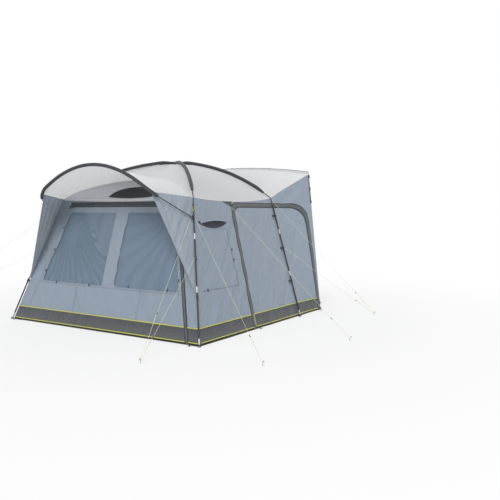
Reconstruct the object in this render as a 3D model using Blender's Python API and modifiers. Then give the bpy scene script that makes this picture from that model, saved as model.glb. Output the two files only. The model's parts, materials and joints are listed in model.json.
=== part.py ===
# Drive-away awning that stands against the side of a van.
# Two bowed poles cross over the cabin, a porch hoop pivots on hubs on the front legs,
# and a tunnel joins the cabin to a beaded strip that slides into the van's rail.
# Metres, +Z up, +X along the van, +Y towards the van. The origin is on the ground, in the
# middle of the awning's length and depth. Depths are first measured from the foot of the
# front wall, and at() moves them to the origin.

import math

import bmesh
import bpy
from mathutils import Matrix, Vector
from mathutils.geometry import intersect_line_line

# Cabin
HALF_WIDTH = 1.700  # side wall's foot, from the middle
CABIN_DEPTH = 2.455  # front wall's foot to the rear legs' feet
TUNNEL_DEPTH = 0.731  # rear legs' feet to the van
EAVE_FRONT_Z = 1.748  # front roof corners
EAVE_REAR_Z = 1.764  # rear roof corners
EAVE_INSET = 0.497  # how far the roof corners stand inside the side wall's foot
FRONT_SETBACK = 0.530  # how far the front roof corners lean back
REAR_SETBACK = 0.039  # how far the rear roof corners lean forward
EAVE_SAG = 0.050  # dip of the side eaves between their corners
FRONT_EAVE_SAG = 0.030
PEAK_Y = 1.655  # where the roof poles cross
PEAK_Z = 2.280

# Seam where the porch canopy, the gable and the cabin's roof meet
BREAK_MID_Y = 1.040
BREAK_MID_Z = 2.030
BREAK_SHOULDER = 0.50  # share of the half width at which the next two values are given
BREAK_SHOULDER_Y = 0.850
BREAK_SHOULDER_Z = 1.969
BREAK_END = 0.985  # share of the half width where the gable and the front roof stop
GABLE_HOLLOW = 0.440  # how strongly the gable dips above the eave
VENT_HALF = 0.430
VENT_FRONT_Y = 0.680
VENT_DEPTH = 0.210

# Tunnel
RAIL_HALF = 1.473  # half the beaded strip's length
RAIL_MID_Z = 2.270
RAIL_END_Z = 2.162
TUNNEL_SAG = 0.020
STRIP_UPPER = 0.036  # beaded strip above and below the end of the tunnel's roof
STRIP_LOWER = 0.009
STRIP_THICK = 0.003
BEAD_RADIUS = 0.0045

# Porch hoop
HOOP_APEX_Z = 2.165
HOOP_Y = -0.045  # plane of the hoop's arch
ARCH_END_X = 0.900
KNEE_X = 1.050  # corner that the hoop rounds between its arch and its limbs
KNEE_Y = -0.012
KNEE_Z = 1.772
HUB_Z = 1.498
HUB_REACH = 0.034  # pivot ahead of the leg's centre
HUB_HEIGHT = 0.044
HUB_PLATE = 0.007
HUB_DISC = 0.015
KNUCKLE_WIDTH = 0.012
PIN_RADIUS = 0.0035
PIN_HEAD = 0.003
WING_HOLLOW = 0.24  # how deep the wing's free edge is cut in
WING_TURN = 1.2  # how far the canopy's corner turns inward behind the knee
CORNER_CLEAR = 0.003  # canopy's corner to the hoop's sleeve

# Poles
LEG_RADIUS = 0.0105
LEG_STANDOFF = 0.024  # leg's centre outside the corner of the cloth
LEG_TOP_Z = 1.660
SOCKET_DEPTH = 0.035  # how far the roof poles plug into the legs
BEND_RUN_UP = 0.040  # bend over the roof corner, from the leg's line
BEND_RUN_OUT = 0.060  # and from the line of the roof arm
JOINT_Z = (0.640, 1.265)  # necked joints between the leg sections
JOINT_LENGTH = 0.070
JOINT_RADIUS = 0.0094
FOOT_RADIUS = 0.020
FOOT_HEIGHT = 0.012
POLE_RADIUS = 0.0063
SLEEVE_RADIUS = 0.0185
HOOP_SLEEVE_RADIUS = 0.0165
FRONT_CLIP_Z = (0.560, 1.014, 1.610)  # cloth hooks up each front leg
REAR_CLIP_Z = (0.530, 1.020, 1.500)
CLIP_HEIGHT = 0.014
CLIP_WALL = 0.004
CLIP_TONGUE = 0.006
CLIP_CLEAR = 0.0035  # hook's tip to the corner of the cloth

# Cloth and clearances
CLOTH = 0.0016
SKIRT_HEIGHT = 0.195
HEM_LIFT = 0.001  # hems of the walls above the ground
PANEL_LIFT = 0.004  # hems of the panels that open
GAP = 0.0003
FIT = 0.0005  # play of round pieces in their bores
SEAM = 0.0006
CREASE = 0.0012  # sheets to the crease or strip where they meet

# Front panel
PANEL_FOOT_HALF = 1.514
PANEL_TOP_HALF = 0.990
PANEL_TOP_Z = 1.650
PANEL_CORNER = 0.080
WINDOW_SILL_Z = 0.580
WINDOW_TOP_Z = 1.550
WINDOW_FOOT_X = 1.260
WINDOW_TOP_X = 0.957
WINDOW_POST_HALF = 0.115
WINDOW_POST_X = 0.050  # middle of the strip between the windows
WINDOW_CORNER = 0.030
CURTAIN_MARGIN = 0.020
ZIP_WIDTH = 0.040
ZIP_THICK = 0.0014

# Side wall and door
DOOR_FRONT_Y = 1.236
DOOR_FRONT_LEAN = 0.075
DOOR_REAR_Y = 3.130
DOOR_REAR_LEAN = -0.050
DOOR_TOP_Z = 1.655
DOOR_FRONT_CORNER = 0.140
DOOR_REAR_CORNER = 0.280
DOOR_HINGE_X = 1.526
DOOR_HINGE_Y = 3.150
BLIND_FRONT = 0.100  # side window's blind behind the cabin's front corner
BLIND_REAR_Y = 1.090
BLIND_SILL_Z = 0.600
BLIND_TOP_Z = 1.340
FLAP_FRONT_Y = 0.570
FLAP_REAR_Y = 1.140
FLAP_FOOT_Z = 1.380
FLAP_TOP_Z = 1.470
FLAP_CORNER = 0.030

# Guy lines: the pegs' places on the ground and the ways that they lean
GUY_RADIUS = 0.0014
GUY_SAG = 0.010
GUY_TURN = 0.8 * GUY_RADIUS  # how far the end of a line stands from its peg
GUY_TIES = (0.030, 0.040)  # heights of a lower and an upper line on a peg
EAVE_PATCH = 0.435  # share of the eave where a line is tied to the side wall
EAVE_PATCH_Z = 1.627
PEG_RADIUS = 0.0030
PEG_HEIGHT = 0.050
PEG_LEAN = 0.25  # how far a peg leans outwards, as a share of its height
PEG_HOOK = 0.016
PEGS = {
    "front": ((1.655, -0.930), (0.25, -1.0)),
    "hub": ((2.763, -0.330), (1.0, -0.5)),
    "eave": ((3.030, 1.250), (1.0, 0.0)),
    "rear": ((2.620, 3.120), (1.0, 0.5)),
}
LEFT_UPPER_END = (-2.233, 0.047, 0.919)
LEFT_LOWER_END = (-2.169, -0.002, 0.655)

TINY = 0.0001
CUT_REACH = 2.5  # half length of the long cutters
ARM_STEPS = 8  # stations along each roof arm and each half of the canopy
EAVE_STEPS = 6
TUNNEL_STEPS = 4
BREAK_STEPS = 2
SLEEVE_END = 0.92  # share of a roof arm that its sleeve reaches
HOOP_SLEEVE_END = 10

REAR_Y = CABIN_DEPTH + TUNNEL_DEPTH
BACK_Y = REAR_Y + STRIP_THICK / 2.0 + BEAD_RADIUS
FRONT_Y = HOOP_Y - HOOP_SLEEVE_RADIUS
MID_Y = (BACK_Y + FRONT_Y) / 2.0
LEAN = EAVE_INSET / EAVE_FRONT_Z
SETBACK = FRONT_SETBACK / EAVE_FRONT_Z
CORNER_X = HALF_WIDTH - EAVE_INSET
REAR_CORNER_Y = CABIN_DEPTH - REAR_SETBACK
ROOF_DROP = 1.5 * CLOTH + GAP  # side walls stop this far under the roof's top face
GABLE_DROP = 1.2 * CLOTH + GAP  # front wall stops this far under the gable's top face
CORNER_LAP = CLOTH * math.hypot(1.0, LEAN) + SEAM  # front wall's edge inside the corner
SIDES = {"right": 1.0, "left": -1.0}

FINISHES = {
    "wall_cloth": ((0.30, 0.36, 0.43), 0.75, 0.0),
    "roof_cloth": ((0.62, 0.64, 0.66), 0.70, 0.0),
    "skirt_cloth": ((0.11, 0.12, 0.12), 0.60, 0.0),
    "sleeve_cloth": ((0.035, 0.037, 0.042), 0.80, 0.0),
    "mesh_net": ((0.03, 0.03, 0.035), 0.90, 0.0),
    "clear_film": ((0.42, 0.50, 0.58), 0.12, 0.0),
    "curtain_cloth": ((0.28, 0.36, 0.45), 0.80, 0.0),
    "zip_cloth": ((0.10, 0.12, 0.11), 0.70, 0.0),
    "black_pole": ((0.02, 0.02, 0.022), 0.35, 0.3),
    "black_plastic": ((0.02, 0.02, 0.02), 0.45, 0.0),
    "guy_line": ((0.62, 0.68, 0.28), 0.70, 0.0),
    "peg_steel": ((0.45, 0.45, 0.46), 0.35, 1.0),
}


def at(x, y, z):
    return Vector((x, y - MID_Y, z))


def lerp(a, b, t):
    return a + (b - a) * t


def flip(point):
    return Vector((-point.x, point.y, point.z))


def on_side(point, sign):
    return point if sign > 0.0 else flip(point)


def shares(steps, first=-1.0, last=1.0):
    return [lerp(first, last, i / steps) for i in range(steps + 1)]


# Scene and objects


def clear_scene():
    for found in list(bpy.data.objects):
        bpy.data.objects.remove(found, do_unlink=True)


def collection(name):
    made = bpy.data.collections.new(name)
    bpy.context.scene.collection.children.link(made)
    return made


def paint(made, finish):
    colour, roughness, metallic = FINISHES[finish]
    skin = bpy.data.materials.new(made.name)
    skin.use_nodes = True
    shader = skin.node_tree.nodes["Principled BSDF"]
    shader.inputs["Base Color"].default_value = (*colour, 1.0)
    shader.inputs["Roughness"].default_value = roughness
    shader.inputs["Metallic"].default_value = metallic
    made.data.materials.clear()
    made.data.materials.append(skin)


def place(name, data, finish):
    made = bpy.data.objects.new(name, data)
    AWNING.objects.link(made)
    paint(made, finish)
    return made


def guide(name, data):
    # Cutter or joining piece, which isn't a part
    made = bpy.data.objects.new(name, data)
    CUTTERS.objects.link(made)
    made.display_type = "WIRE"
    made.hide_render = True
    return made


def pivot(name, where):
    made = bpy.data.objects.new(name, None)
    made.location = where
    AWNING.objects.link(made)
    bpy.context.view_layer.update()
    return made


def hang(made, carrier):
    made.parent = carrier
    made.matrix_parent_inverse = carrier.matrix_world.inverted()
    return made


def meshed(form, name):
    bmesh.ops.recalc_face_normals(form, faces=form.faces)
    mesh = bpy.data.meshes.new(name)
    form.to_mesh(mesh)
    form.free()
    return mesh


def baked(source):
    # The evaluated shape as a welded mesh, with the source removed
    bpy.context.view_layer.update()
    graph = bpy.context.evaluated_depsgraph_get()
    mesh = bpy.data.meshes.new_from_object(source.evaluated_get(graph))
    mesh.transform(source.matrix_world)
    form = bmesh.new()
    form.from_mesh(mesh)
    bmesh.ops.remove_doubles(form, verts=form.verts, dist=TINY / 10.0)
    bpy.data.objects.remove(source, do_unlink=True)
    return meshed(form, mesh.name)


def combine(made, tools, operation):
    for tool in tools:
        step = made.modifiers.new(tool.name, "BOOLEAN")
        step.object = tool
        step.operation = operation
    return made


# Turned pieces and small blocks


def aim(start, end):
    # Frame at the start whose Z axis points to the end
    turn = (end - start).to_track_quat("Z", "Y").to_matrix().to_4x4()
    return Matrix.Translation(start) @ turn


def turned(name, profile, start, end, finish, steps=10):
    # Profile of (radius, height) pairs, turned about the line from start to end
    mesh = bpy.data.meshes.new(name)
    points = [(radius, 0.0, height) for radius, height in profile]
    mesh.from_pydata(points, [(i, i + 1) for i in range(len(points) - 1)], [])
    made = place(name, mesh, finish)
    made.matrix_world = aim(start, end)
    screw = made.modifiers.new("turn", "SCREW")
    screw.steps = steps
    screw.render_steps = steps
    screw.use_merge_vertices = True
    screw.merge_threshold = TINY
    screw.use_smooth_shade = True
    return made


def rod(name, start, end, radius, sides=16):
    form = bmesh.new()
    middle = Matrix.Translation((0.0, 0.0, (end - start).length / 2.0))
    bmesh.ops.create_cone(
        form, cap_ends=True, segments=sides, radius1=radius, radius2=radius,
        depth=(end - start).length, matrix=aim(start, end) @ middle,
    )
    return guide(name, meshed(form, name))


def block(name, start, end, width, height):
    form = bmesh.new()
    length = (end - start).length
    middle = Matrix.Translation((0.0, 0.0, length / 2.0))
    size = Matrix.Diagonal((width, height, length, 1.0))
    bmesh.ops.create_cube(form, size=1.0, matrix=aim(start, end) @ middle @ size)
    return guide(name, meshed(form, name))


# Tubes along a line of points


def line_curve(name, points, radius, capped, resolution):
    path = bpy.data.curves.new(name, "CURVE")
    path.dimensions = "3D"
    path.bevel_depth = radius
    path.bevel_resolution = resolution
    path.use_fill_caps = capped
    spline = path.splines.new("POLY")
    spline.points.add(len(points) - 1)
    for slot, point in zip(spline.points, points):
        slot.co = (*point, 1.0)
    return path


def tube(name, points, radius, finish, resolution=2):
    return place(name, line_curve(name, points, radius, True, resolution), finish)


def sleeve(name, points, outer, finish):
    # Open tube with a wall around a pole
    skin = guide(name + "_line", line_curve(name, points, outer, False, 3))
    made = place(name, baked(skin), finish)
    wall = made.modifiers.new("wall", "SOLIDIFY")
    wall.thickness = outer - POLE_RADIUS - FIT
    wall.offset = -1.0
    return made


# Cloth


def mirrored(rows, sign):
    # Rows of points on the chosen side, still wound so that their faces point out
    if sign > 0.0:
        return rows
    return [[flip(p) for p in reversed(row)] for row in rows]


def pulled(point, towards, distance):
    return point + (towards - point).normalized() * distance


def trimmed(row, start=SEAM, end=SEAM):
    # Row of points that stops short of its seams
    return [pulled(row[0], row[1], start), *row[1:-1], pulled(row[-1], row[-2], end)]


def cloth(name, rows, finish, keep=None, cuts=(), depth=0.0, thick=CLOTH):
    # Sheet lofted through rows of points, its outer face at the depth behind them
    form = bmesh.new()
    grid = [[form.verts.new(p) for p in row] for row in rows]
    for low, high in zip(grid, grid[1:]):
        for i in range(len(low) - 1):
            form.faces.new((low[i], low[i + 1], high[i + 1]))
            form.faces.new((low[i], high[i + 1], high[i]))
    mesh = bpy.data.meshes.new(name)
    form.to_mesh(mesh)
    form.free()
    made = place(name, mesh, finish)
    wall = made.modifiers.new("thickness", "SOLIDIFY")
    wall.thickness = thick
    wall.offset = -1.0 - 2.0 * depth / thick
    if keep is not None:
        combine(made, [keep], "INTERSECT")
    return combine(made, cuts, "DIFFERENCE")


def grown(corners, distance):
    # Outline with every edge moved out by the distance. Corners run anticlockwise.
    moved = []
    count = len(corners)
    for i in range(count):
        before, here, after = (Vector(corners[j % count]) for j in (i - 1, i, i + 1))
        first = (here - before).normalized()
        second = (after - here).normalized()
        first_out = Vector((first.y, -first.x))
        out = (first_out + Vector((second.y, -second.x))).normalized()
        moved.append(here + out * distance / out.dot(first_out))
    return moved


def rounded(corners, cut_backs, steps=5):
    # Outline whose corners are cut back and rounded
    points = []
    count = len(corners)
    for i in range(count):
        before, here, after = (Vector(corners[j % count]) for j in (i - 1, i, i + 1))
        back = cut_backs[i]
        if back <= 0.0:
            points.append(here)
            continue
        start, end = pulled(here, before, back), pulled(here, after, back)
        for t in shares(steps, 0.0):
            points.append(lerp(lerp(start, here, t), lerp(here, end, t), t))
    return points


# Turns a flat outline so that it is drawn across the world's X, Y or Z axis
OUTLINE_TURN = {
    "X": Matrix(((0, 0, 1), (1, 0, 0), (0, 1, 0))).to_4x4(),
    "Y": Matrix(((1, 0, 0), (0, 0, -1), (0, 1, 0))).to_4x4(),
    "Z": Matrix.Identity(4),
}


def prism(name, axis, outline, hole=None, reach=CUT_REACH):
    flat = bpy.data.curves.new(name, "CURVE")
    flat.dimensions = "2D"
    flat.fill_mode = "BOTH"
    flat.extrude = reach
    for loop in (outline, hole):
        if loop is None:
            continue
        spline = flat.splines.new("POLY")
        spline.points.add(len(loop) - 1)
        for slot, point in zip(spline.points, loop):
            slot.co = (point[0], point[1], 0.0, 1.0)
        spline.use_cyclic_u = True
    source = guide(name + "_outline", flat)
    source.matrix_world = OUTLINE_TURN[axis]
    return guide(name, baked(source))


# Lines and surfaces of the cabin


def front_corner(z):
    return at(HALF_WIDTH - LEAN * z, SETBACK * z, z)


def rear_corner(z):
    lean = EAVE_INSET / EAVE_REAR_Z
    return at(HALF_WIDTH - lean * z, CABIN_DEPTH - REAR_SETBACK * z / EAVE_REAR_Z, z)


def van_edge(z):
    return at(HALF_WIDTH - (HALF_WIDTH - RAIL_HALF) * z / RAIL_END_Z, REAR_Y, z)


def ridge(x, front):
    # Crease of the roof under the front or the rear arm of a pole
    end_z = EAVE_FRONT_Z if front else EAVE_REAR_Z
    reach = abs(x) / CORNER_X
    along = (REAR_CORNER_Y - FRONT_SETBACK) / 2.0
    bow = PEAK_Y - (REAR_CORNER_Y + FRONT_SETBACK) / 2.0
    y = PEAK_Y + (-along if front else along) * reach - bow * reach**2
    return at(x, y, PEAK_Z - (PEAK_Z - end_z) * reach**2)


def roof_break(share):
    # Seam between the cabin's roof, the gable and the canopy, even about the middle
    reach = share**2
    shoulder = BREAK_SHOULDER**2

    def through(mid, quarter, end):
        curve = ((end - mid) - (quarter - mid) / shoulder) / (1.0 - shoulder)
        return mid + (end - mid - curve) * reach + curve * reach**2

    y = through(BREAK_MID_Y, BREAK_SHOULDER_Y, FRONT_SETBACK)
    z = through(BREAK_MID_Z, BREAK_SHOULDER_Z, EAVE_FRONT_Z)
    return at(share * CORNER_X, y, z)


def front_eave(share):
    z = EAVE_FRONT_Z - FRONT_EAVE_SAG * (1.0 - share**2)
    return at(share * CORNER_X, SETBACK * z, z)


def rail(share):
    z = RAIL_MID_Z - (RAIL_MID_Z - RAIL_END_Z) * share**2
    return at(share * RAIL_HALF, REAR_Y, z)


def side_eave_z(t):
    return lerp(EAVE_FRONT_Z, EAVE_REAR_Z, t) - EAVE_SAG * 4.0 * t * (1.0 - t)


def tunnel_edge_z(t):
    return lerp(EAVE_REAR_Z, RAIL_END_Z, t)


def side_roof(share, t):
    # Side quarter of the roof, t from its front arm to its rear arm
    x = share * CORNER_X
    dip = EAVE_SAG * share**2 * 4.0 * t * (1.0 - t)
    return lerp(ridge(x, True), ridge(x, False), t) + Vector((LEAN * dip, 0.0, -dip))


def front_roof(share, t):
    return lerp(roof_break(share), ridge(share * CORNER_X, True), t)


def tunnel_roof(share, t):
    # Roof from the rear arms to the strip, drawn in to the tunnel walls' tops at its edges
    z = tunnel_edge_z(t)
    draw = lerp(rear_corner(z), van_edge(z), t) - lerp(ridge(CORNER_X, False), rail(1.0), t)
    sag = TUNNEL_SAG * 4.0 * t * (1.0 - t) * (1.0 - share**2)
    shift = Vector((draw.x * share * abs(share), draw.y * share**2, draw.z * share**2 - sag))
    return lerp(ridge(share * CORNER_X, False), rail(share), t) + shift


def gable_surface(share, t):
    dip = GABLE_HOLLOW * t * (1.0 - t) ** 2 * (1.0 - share**2)
    return lerp(front_eave(share), roof_break(share), t) - Vector((0.0, 0.0, dip))


def side_rows():
    # Side wall and tunnel wall from the ground to the eave
    rows = []
    for course in shares(4, 0.0):
        row = []
        for t in shares(EAVE_STEPS, 0.0):
            z = lerp(HEM_LIFT, side_eave_z(t) - ROOF_DROP, course)
            row.append(lerp(front_corner(z), rear_corner(z), t))
        for t in shares(TUNNEL_STEPS, 0.0)[1:]:
            z = lerp(HEM_LIFT, tunnel_edge_z(t) - ROOF_DROP, course)
            row.append(lerp(rear_corner(z), van_edge(z), t))
        rows.append(trimmed(row, 0.0, CREASE))
    return rows


def front_rows(low, high, steps=2):
    # Front wall between two heights, or up to the eave where high is None
    rows = [[], []]
    for share in shares(steps):
        for row, z in zip(rows, (low, high)):
            if z is None:
                z = front_eave(share).z - GABLE_DROP
            half = HALF_WIDTH - LEAN * z - CORNER_LAP
            row.append(at(share * half, SETBACK * z, z))
    return rows


# Outlines that cut the panels out of the walls


def outline_pair(name, axis, corners, backs):
    # A panel's prism, and the slightly larger one that makes its opening
    return (
        prism(name, axis, rounded(corners, backs)),
        prism(name + "_opening", axis, rounded(grown(corners, SEAM), backs)),
    )


def band(name, axis, corners, backs, steps=5):
    half = ZIP_WIDTH / 2.0
    outer = rounded(grown(corners, half), backs, steps)
    return prism(name, axis, outer, rounded(grown(corners, -half), backs, steps))


def panel_corners():
    slope = (PANEL_FOOT_HALF - PANEL_TOP_HALF) / PANEL_TOP_Z
    foot = PANEL_FOOT_HALF + slope * SKIRT_HEIGHT
    return [
        (-foot, -SKIRT_HEIGHT), (foot, -SKIRT_HEIGHT),
        (PANEL_TOP_HALF, PANEL_TOP_Z), (-PANEL_TOP_HALF, PANEL_TOP_Z),
    ]


def window_corners(sign):
    post = WINDOW_POST_X + sign * WINDOW_POST_HALF
    corners = [
        (post, WINDOW_SILL_Z), (sign * WINDOW_FOOT_X, WINDOW_SILL_Z),
        (sign * WINDOW_TOP_X, WINDOW_TOP_Z), (post, WINDOW_TOP_Z),
    ]
    return corners if sign > 0.0 else corners[::-1]


def side_corners(points):
    return [(y - MID_Y, z) for y, z in points]


def door_corners(foot, top):
    return side_corners([
        (DOOR_FRONT_Y + DOOR_FRONT_LEAN * foot, foot),
        (DOOR_REAR_Y + DOOR_REAR_LEAN * foot, foot),
        (DOOR_REAR_Y + DOOR_REAR_LEAN * top, top),
        (DOOR_FRONT_Y + DOOR_FRONT_LEAN * top, top),
    ])


def blind_corners():
    return side_corners([
        (SETBACK * BLIND_SILL_Z + BLIND_FRONT, BLIND_SILL_Z),
        (BLIND_REAR_Y, BLIND_SILL_Z), (BLIND_REAR_Y, BLIND_TOP_Z),
        (SETBACK * BLIND_TOP_Z + BLIND_FRONT, BLIND_TOP_Z),
    ])


def flap_corners():
    return side_corners([
        (FLAP_FRONT_Y, FLAP_FOOT_Z), (FLAP_REAR_Y, FLAP_FOOT_Z),
        (FLAP_REAR_Y, FLAP_TOP_Z), (FLAP_FRONT_Y, FLAP_TOP_Z),
    ])


# Frame


def upward(a, b):
    normal = a.cross(b).normalized()
    return normal if normal.z > 0.0 else -normal


def pole_station(share, front):
    # Centre of a roof pole over the crease, clear of both sheets by its sleeve
    x = share * CORNER_X
    here = ridge(x, front)
    if share == 0.0:
        return here + Vector((0.0, 0.0, SLEEVE_RADIUS + GAP))
    along = ridge(x + TINY, front) - ridge(x - TINY, front)
    if front:
        side = side_roof(share, 1.0 / EAVE_STEPS)
        beyond = front_roof(share, 1.0 - 1.0 / BREAK_STEPS)
    else:
        side = side_roof(share, 1.0 - 1.0 / EAVE_STEPS)
        beyond = tunnel_roof(share, 1.0 / TUNNEL_STEPS)
    one, other = upward(along, side - here), upward(along, beyond - here)
    return here + (one + other) * (SLEEVE_RADIUS + GAP) / (1.0 + one.dot(other))


def leg_line(z, front):
    corner = front_corner(z) if front else rear_corner(z)
    out = Vector((1.0, -1.0, 0.0)).normalized() if front else Vector((1.0, 0.0, 0.0))
    return corner + out * LEG_STANDOFF


def arm_points(front, lift):
    # One arm of a roof pole on the right, from the socket in its leg to the crossing
    top = leg_line(LEG_TOP_Z, front)
    axis = (top - leg_line(0.0, front)).normalized()
    arm = [pole_station(share, front)
           for share in [SLEEVE_END, *shares(ARM_STEPS, 1.0, 0.0)[1:]]]
    arm[-1] = arm[-1] + Vector((0.0, 0.0, lift))
    arm[-2] = arm[-2] + Vector((0.0, 0.0, lift / 3.0))
    way = (arm[1] - arm[0]).normalized()
    near, far = intersect_line_line(top, top + axis, arm[0], arm[0] - way)
    meet = (near + far) / 2.0
    start, end = meet - axis * BEND_RUN_UP, meet + way * BEND_RUN_OUT
    bend = [lerp(lerp(start, meet, t), lerp(meet, end, t), t) for t in shares(5, 0.0)]
    return [top - axis * (SOCKET_DEPTH - GAP), top, *bend, *arm]


def roof_poles():
    over = 2.0 * POLE_RADIUS + GAP
    for level, lift, front_side in (("over", over, "left"), ("under", 0.0, "right")):
        rear_side = "right" if front_side == "left" else "left"
        front = [on_side(p, SIDES[front_side]) for p in arm_points(True, lift)]
        rear = [on_side(p, SIDES[rear_side]) for p in arm_points(False, lift)]
        tube("roof_pole_" + level, front + rear[-2::-1], POLE_RADIUS, "black_pole")
        for arm, where in ((front, "front_" + front_side), (rear, "rear_" + rear_side)):
            covered = arm[-ARM_STEPS - 1:-1]
            sleeve("sleeve_" + where, covered, SLEEVE_RADIUS, "sleeve_cloth")


def leg(name, front, sign):
    def line(z):
        return on_side(leg_line(z, front), sign)

    base, top = line(FOOT_HEIGHT * 0.7), line(LEG_TOP_Z)

    def height(z):
        return (line(z) - base).length

    clips = FRONT_CLIP_Z if front else REAR_CLIP_Z
    rings = [(z, JOINT_LENGTH, JOINT_RADIUS) for z in JOINT_Z]
    rings += [(z, CLIP_HEIGHT, LEG_RADIUS + CLIP_WALL) for z in clips]
    bore, floor = POLE_RADIUS + FIT, height(LEG_TOP_Z) - SOCKET_DEPTH
    profile = [(0.0, floor), (bore, floor), (bore, height(LEG_TOP_Z)),
               (LEG_RADIUS, height(LEG_TOP_Z))]
    for z, length, radius in sorted(rings, reverse=True):
        upper, lower = height(z) + length / 2.0, height(z) - length / 2.0
        profile += [(LEG_RADIUS, upper), (radius, upper), (radius, lower),
                    (LEG_RADIUS, lower)]
    profile += [(LEG_RADIUS, 0.0), (0.0, 0.0)]
    made = turned(name, profile, base, top, "black_pole")
    ground = line(0.0)
    foot = rod(name + "_foot", ground, ground + Vector((0.0, 0.0, FOOT_HEIGHT)),
               FOOT_RADIUS)
    hooks = []
    for z in clips:
        centre = line(z)
        corner = on_side((front_corner if front else rear_corner)(z), sign)
        start = pulled(centre, corner, LEG_RADIUS + CLIP_WALL / 2.0)
        tip = pulled(corner, centre, CLIP_CLEAR)
        hooks.append(block(name + "_hook", start, tip, CLIP_TONGUE, CLIP_TONGUE))
    return combine(made, [foot, *hooks], "UNION")


def hub_axis():
    # The pivot in front of the leg, and the middle of the hoop's knuckle beside it
    pin = leg_line(HUB_Z, True) - Vector((0.0, HUB_REACH, 0.0))
    knuckle = pin - Vector((HUB_PLATE / 2.0 + GAP + KNUCKLE_WIDTH / 2.0, 0.0, 0.0))
    return pin, knuckle


def hub(side, sign):
    # Collar on the front leg with a lug and a headed pin for the hoop
    name = "hub_" + side
    pin, knuckle = hub_axis()
    low, high = (on_side(leg_line(HUB_Z + step * HUB_HEIGHT / 2.0, True), sign)
                 for step in (-1.0, 1.0))
    length = (high - low).length
    outer = LEG_RADIUS + CLIP_WALL
    made = turned(name, [(0.0, length), (outer, length), (outer, 0.0), (0.0, 0.0)],
                  low, high, "black_plastic", 16)
    plate = Vector((HUB_PLATE / 2.0, 0.0, 0.0))
    web_end = pin + Vector((0.0, HUB_REACH - LEG_RADIUS - CLIP_WALL / 2.0, 0.0))
    inner = knuckle - Vector((KNUCKLE_WIDTH / 2.0 + GAP, 0.0, 0.0))
    head = Vector((PIN_HEAD, 0.0, 0.0))

    def joined(part, start, end, radius):
        return rod(name + part, on_side(start, sign), on_side(end, sign), radius)

    combine(made, [
        block(name + "_web", on_side(pin, sign), on_side(web_end, sign), HUB_PLATE,
              1.5 * HUB_DISC),
        joined("_disc", pin - plate, pin + plate, HUB_DISC),
        joined("_pin", pin, inner - head / 2.0, PIN_RADIUS),
        joined("_head", inner, inner - head, 2.0 * PIN_RADIUS),
    ], "UNION")
    spare = (high - low) * 0.5
    bore = rod(name + "_bore", low - spare, high + spare, LEG_RADIUS + FIT)
    return combine(made, [bore], "DIFFERENCE")


def hoop_half():
    # Centre line of the porch hoop from the middle to the right knuckle
    _, knuckle = hub_axis()
    fall = (HOOP_APEX_Z - KNEE_Z) / KNEE_X**2
    points = [at(x, HOOP_Y, HOOP_APEX_Z - fall * x**2)
              for x in shares(5, 0.0, ARCH_END_X)]
    start, knee = points[-1], at(KNEE_X, KNEE_Y, KNEE_Z)
    way = (knuckle - knee).normalized()
    end = knee + way * (KNEE_X - ARCH_END_X)
    for t in shares(4, 0.2):
        points.append(lerp(lerp(start, knee, t), lerp(knee, end, t), t))
    socket = knuckle - way * HUB_DISC * 0.7
    return points + [lerp(end, socket, t) for t in shares(2, 1.0 / 3.0)]


def whole_hoop(half):
    return [flip(p) for p in half[:0:-1]] + half


def porch(carrier):
    _, knuckle = hub_axis()
    half = hoop_half()
    path = line_curve("porch_hoop", whole_hoop(half), POLE_RADIUS, True, 2)
    hoop = place("porch_hoop", baked(guide("porch_hoop_line", path)), "black_pole")
    width = Vector((KNUCKLE_WIDTH / 2.0, 0.0, 0.0))
    rings, bores = [], []
    for sign in SIDES.values():
        centre = on_side(knuckle, sign)
        rings.append(rod("knuckle", centre - width, centre + width, HUB_DISC))
        bores.append(rod("knuckle_bore", centre - 2.0 * width, centre + 2.0 * width,
                         PIN_RADIUS + FIT))
    combine(hoop, rings, "UNION")
    hang(combine(hoop, bores, "DIFFERENCE"), carrier)
    hang(sleeve("hoop_sleeve", whole_hoop(half[:HOOP_SLEEVE_END + 1]),
                HOOP_SLEEVE_RADIUS, "sleeve_cloth"), carrier)


# Cloth panels


def roof():
    for side, sign in SIDES.items():
        rows = [trimmed([side_roof(share, t) for t in shares(EAVE_STEPS, 0.0)],
                        CREASE, CREASE)
                for share in [*shares(ARM_STEPS, 1.0, 0.0)[:-1], 0.01]]
        cloth("roof_" + side, mirrored(rows, sign), "roof_cloth")
    ends = [-BREAK_END, *shares(2 * ARM_STEPS)[1:-1], BREAK_END]
    columns = [trimmed([front_roof(share, t) for t in shares(BREAK_STEPS, 0.0)],
                       SEAM, CREASE) for share in ends]
    cloth("roof_front", list(zip(*columns)), "roof_cloth")
    columns = [trimmed([tunnel_roof(share, t) for t in shares(TUNNEL_STEPS, 0.0)],
                       CREASE, CREASE) for share in shares(2 * ARM_STEPS)]
    cloth("tunnel_roof", list(zip(*columns)), "roof_cloth")


def gable():
    arc = [(VENT_HALF * math.cos(math.pi * t),
            VENT_FRONT_Y - MID_Y + VENT_DEPTH * math.sin(math.pi * t))
           for t in shares(12, 0.0)]
    net = prism("gable_vent_net", "Z", arc)
    opening = prism("gable_vent_opening", "Z", grown(arc, SEAM))
    ends = [-BREAK_END, *shares(2 * ARM_STEPS)[1:-1], BREAK_END]
    columns = [trimmed([gable_surface(share, t) for t in shares(5, 0.0)], 0.0, 1.5 * CLOTH)
               for share in ends]
    rows = list(zip(*columns))
    cloth("gable", rows, "roof_cloth", cuts=[opening])
    cloth("gable_vent", rows, "mesh_net", keep=net)


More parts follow.
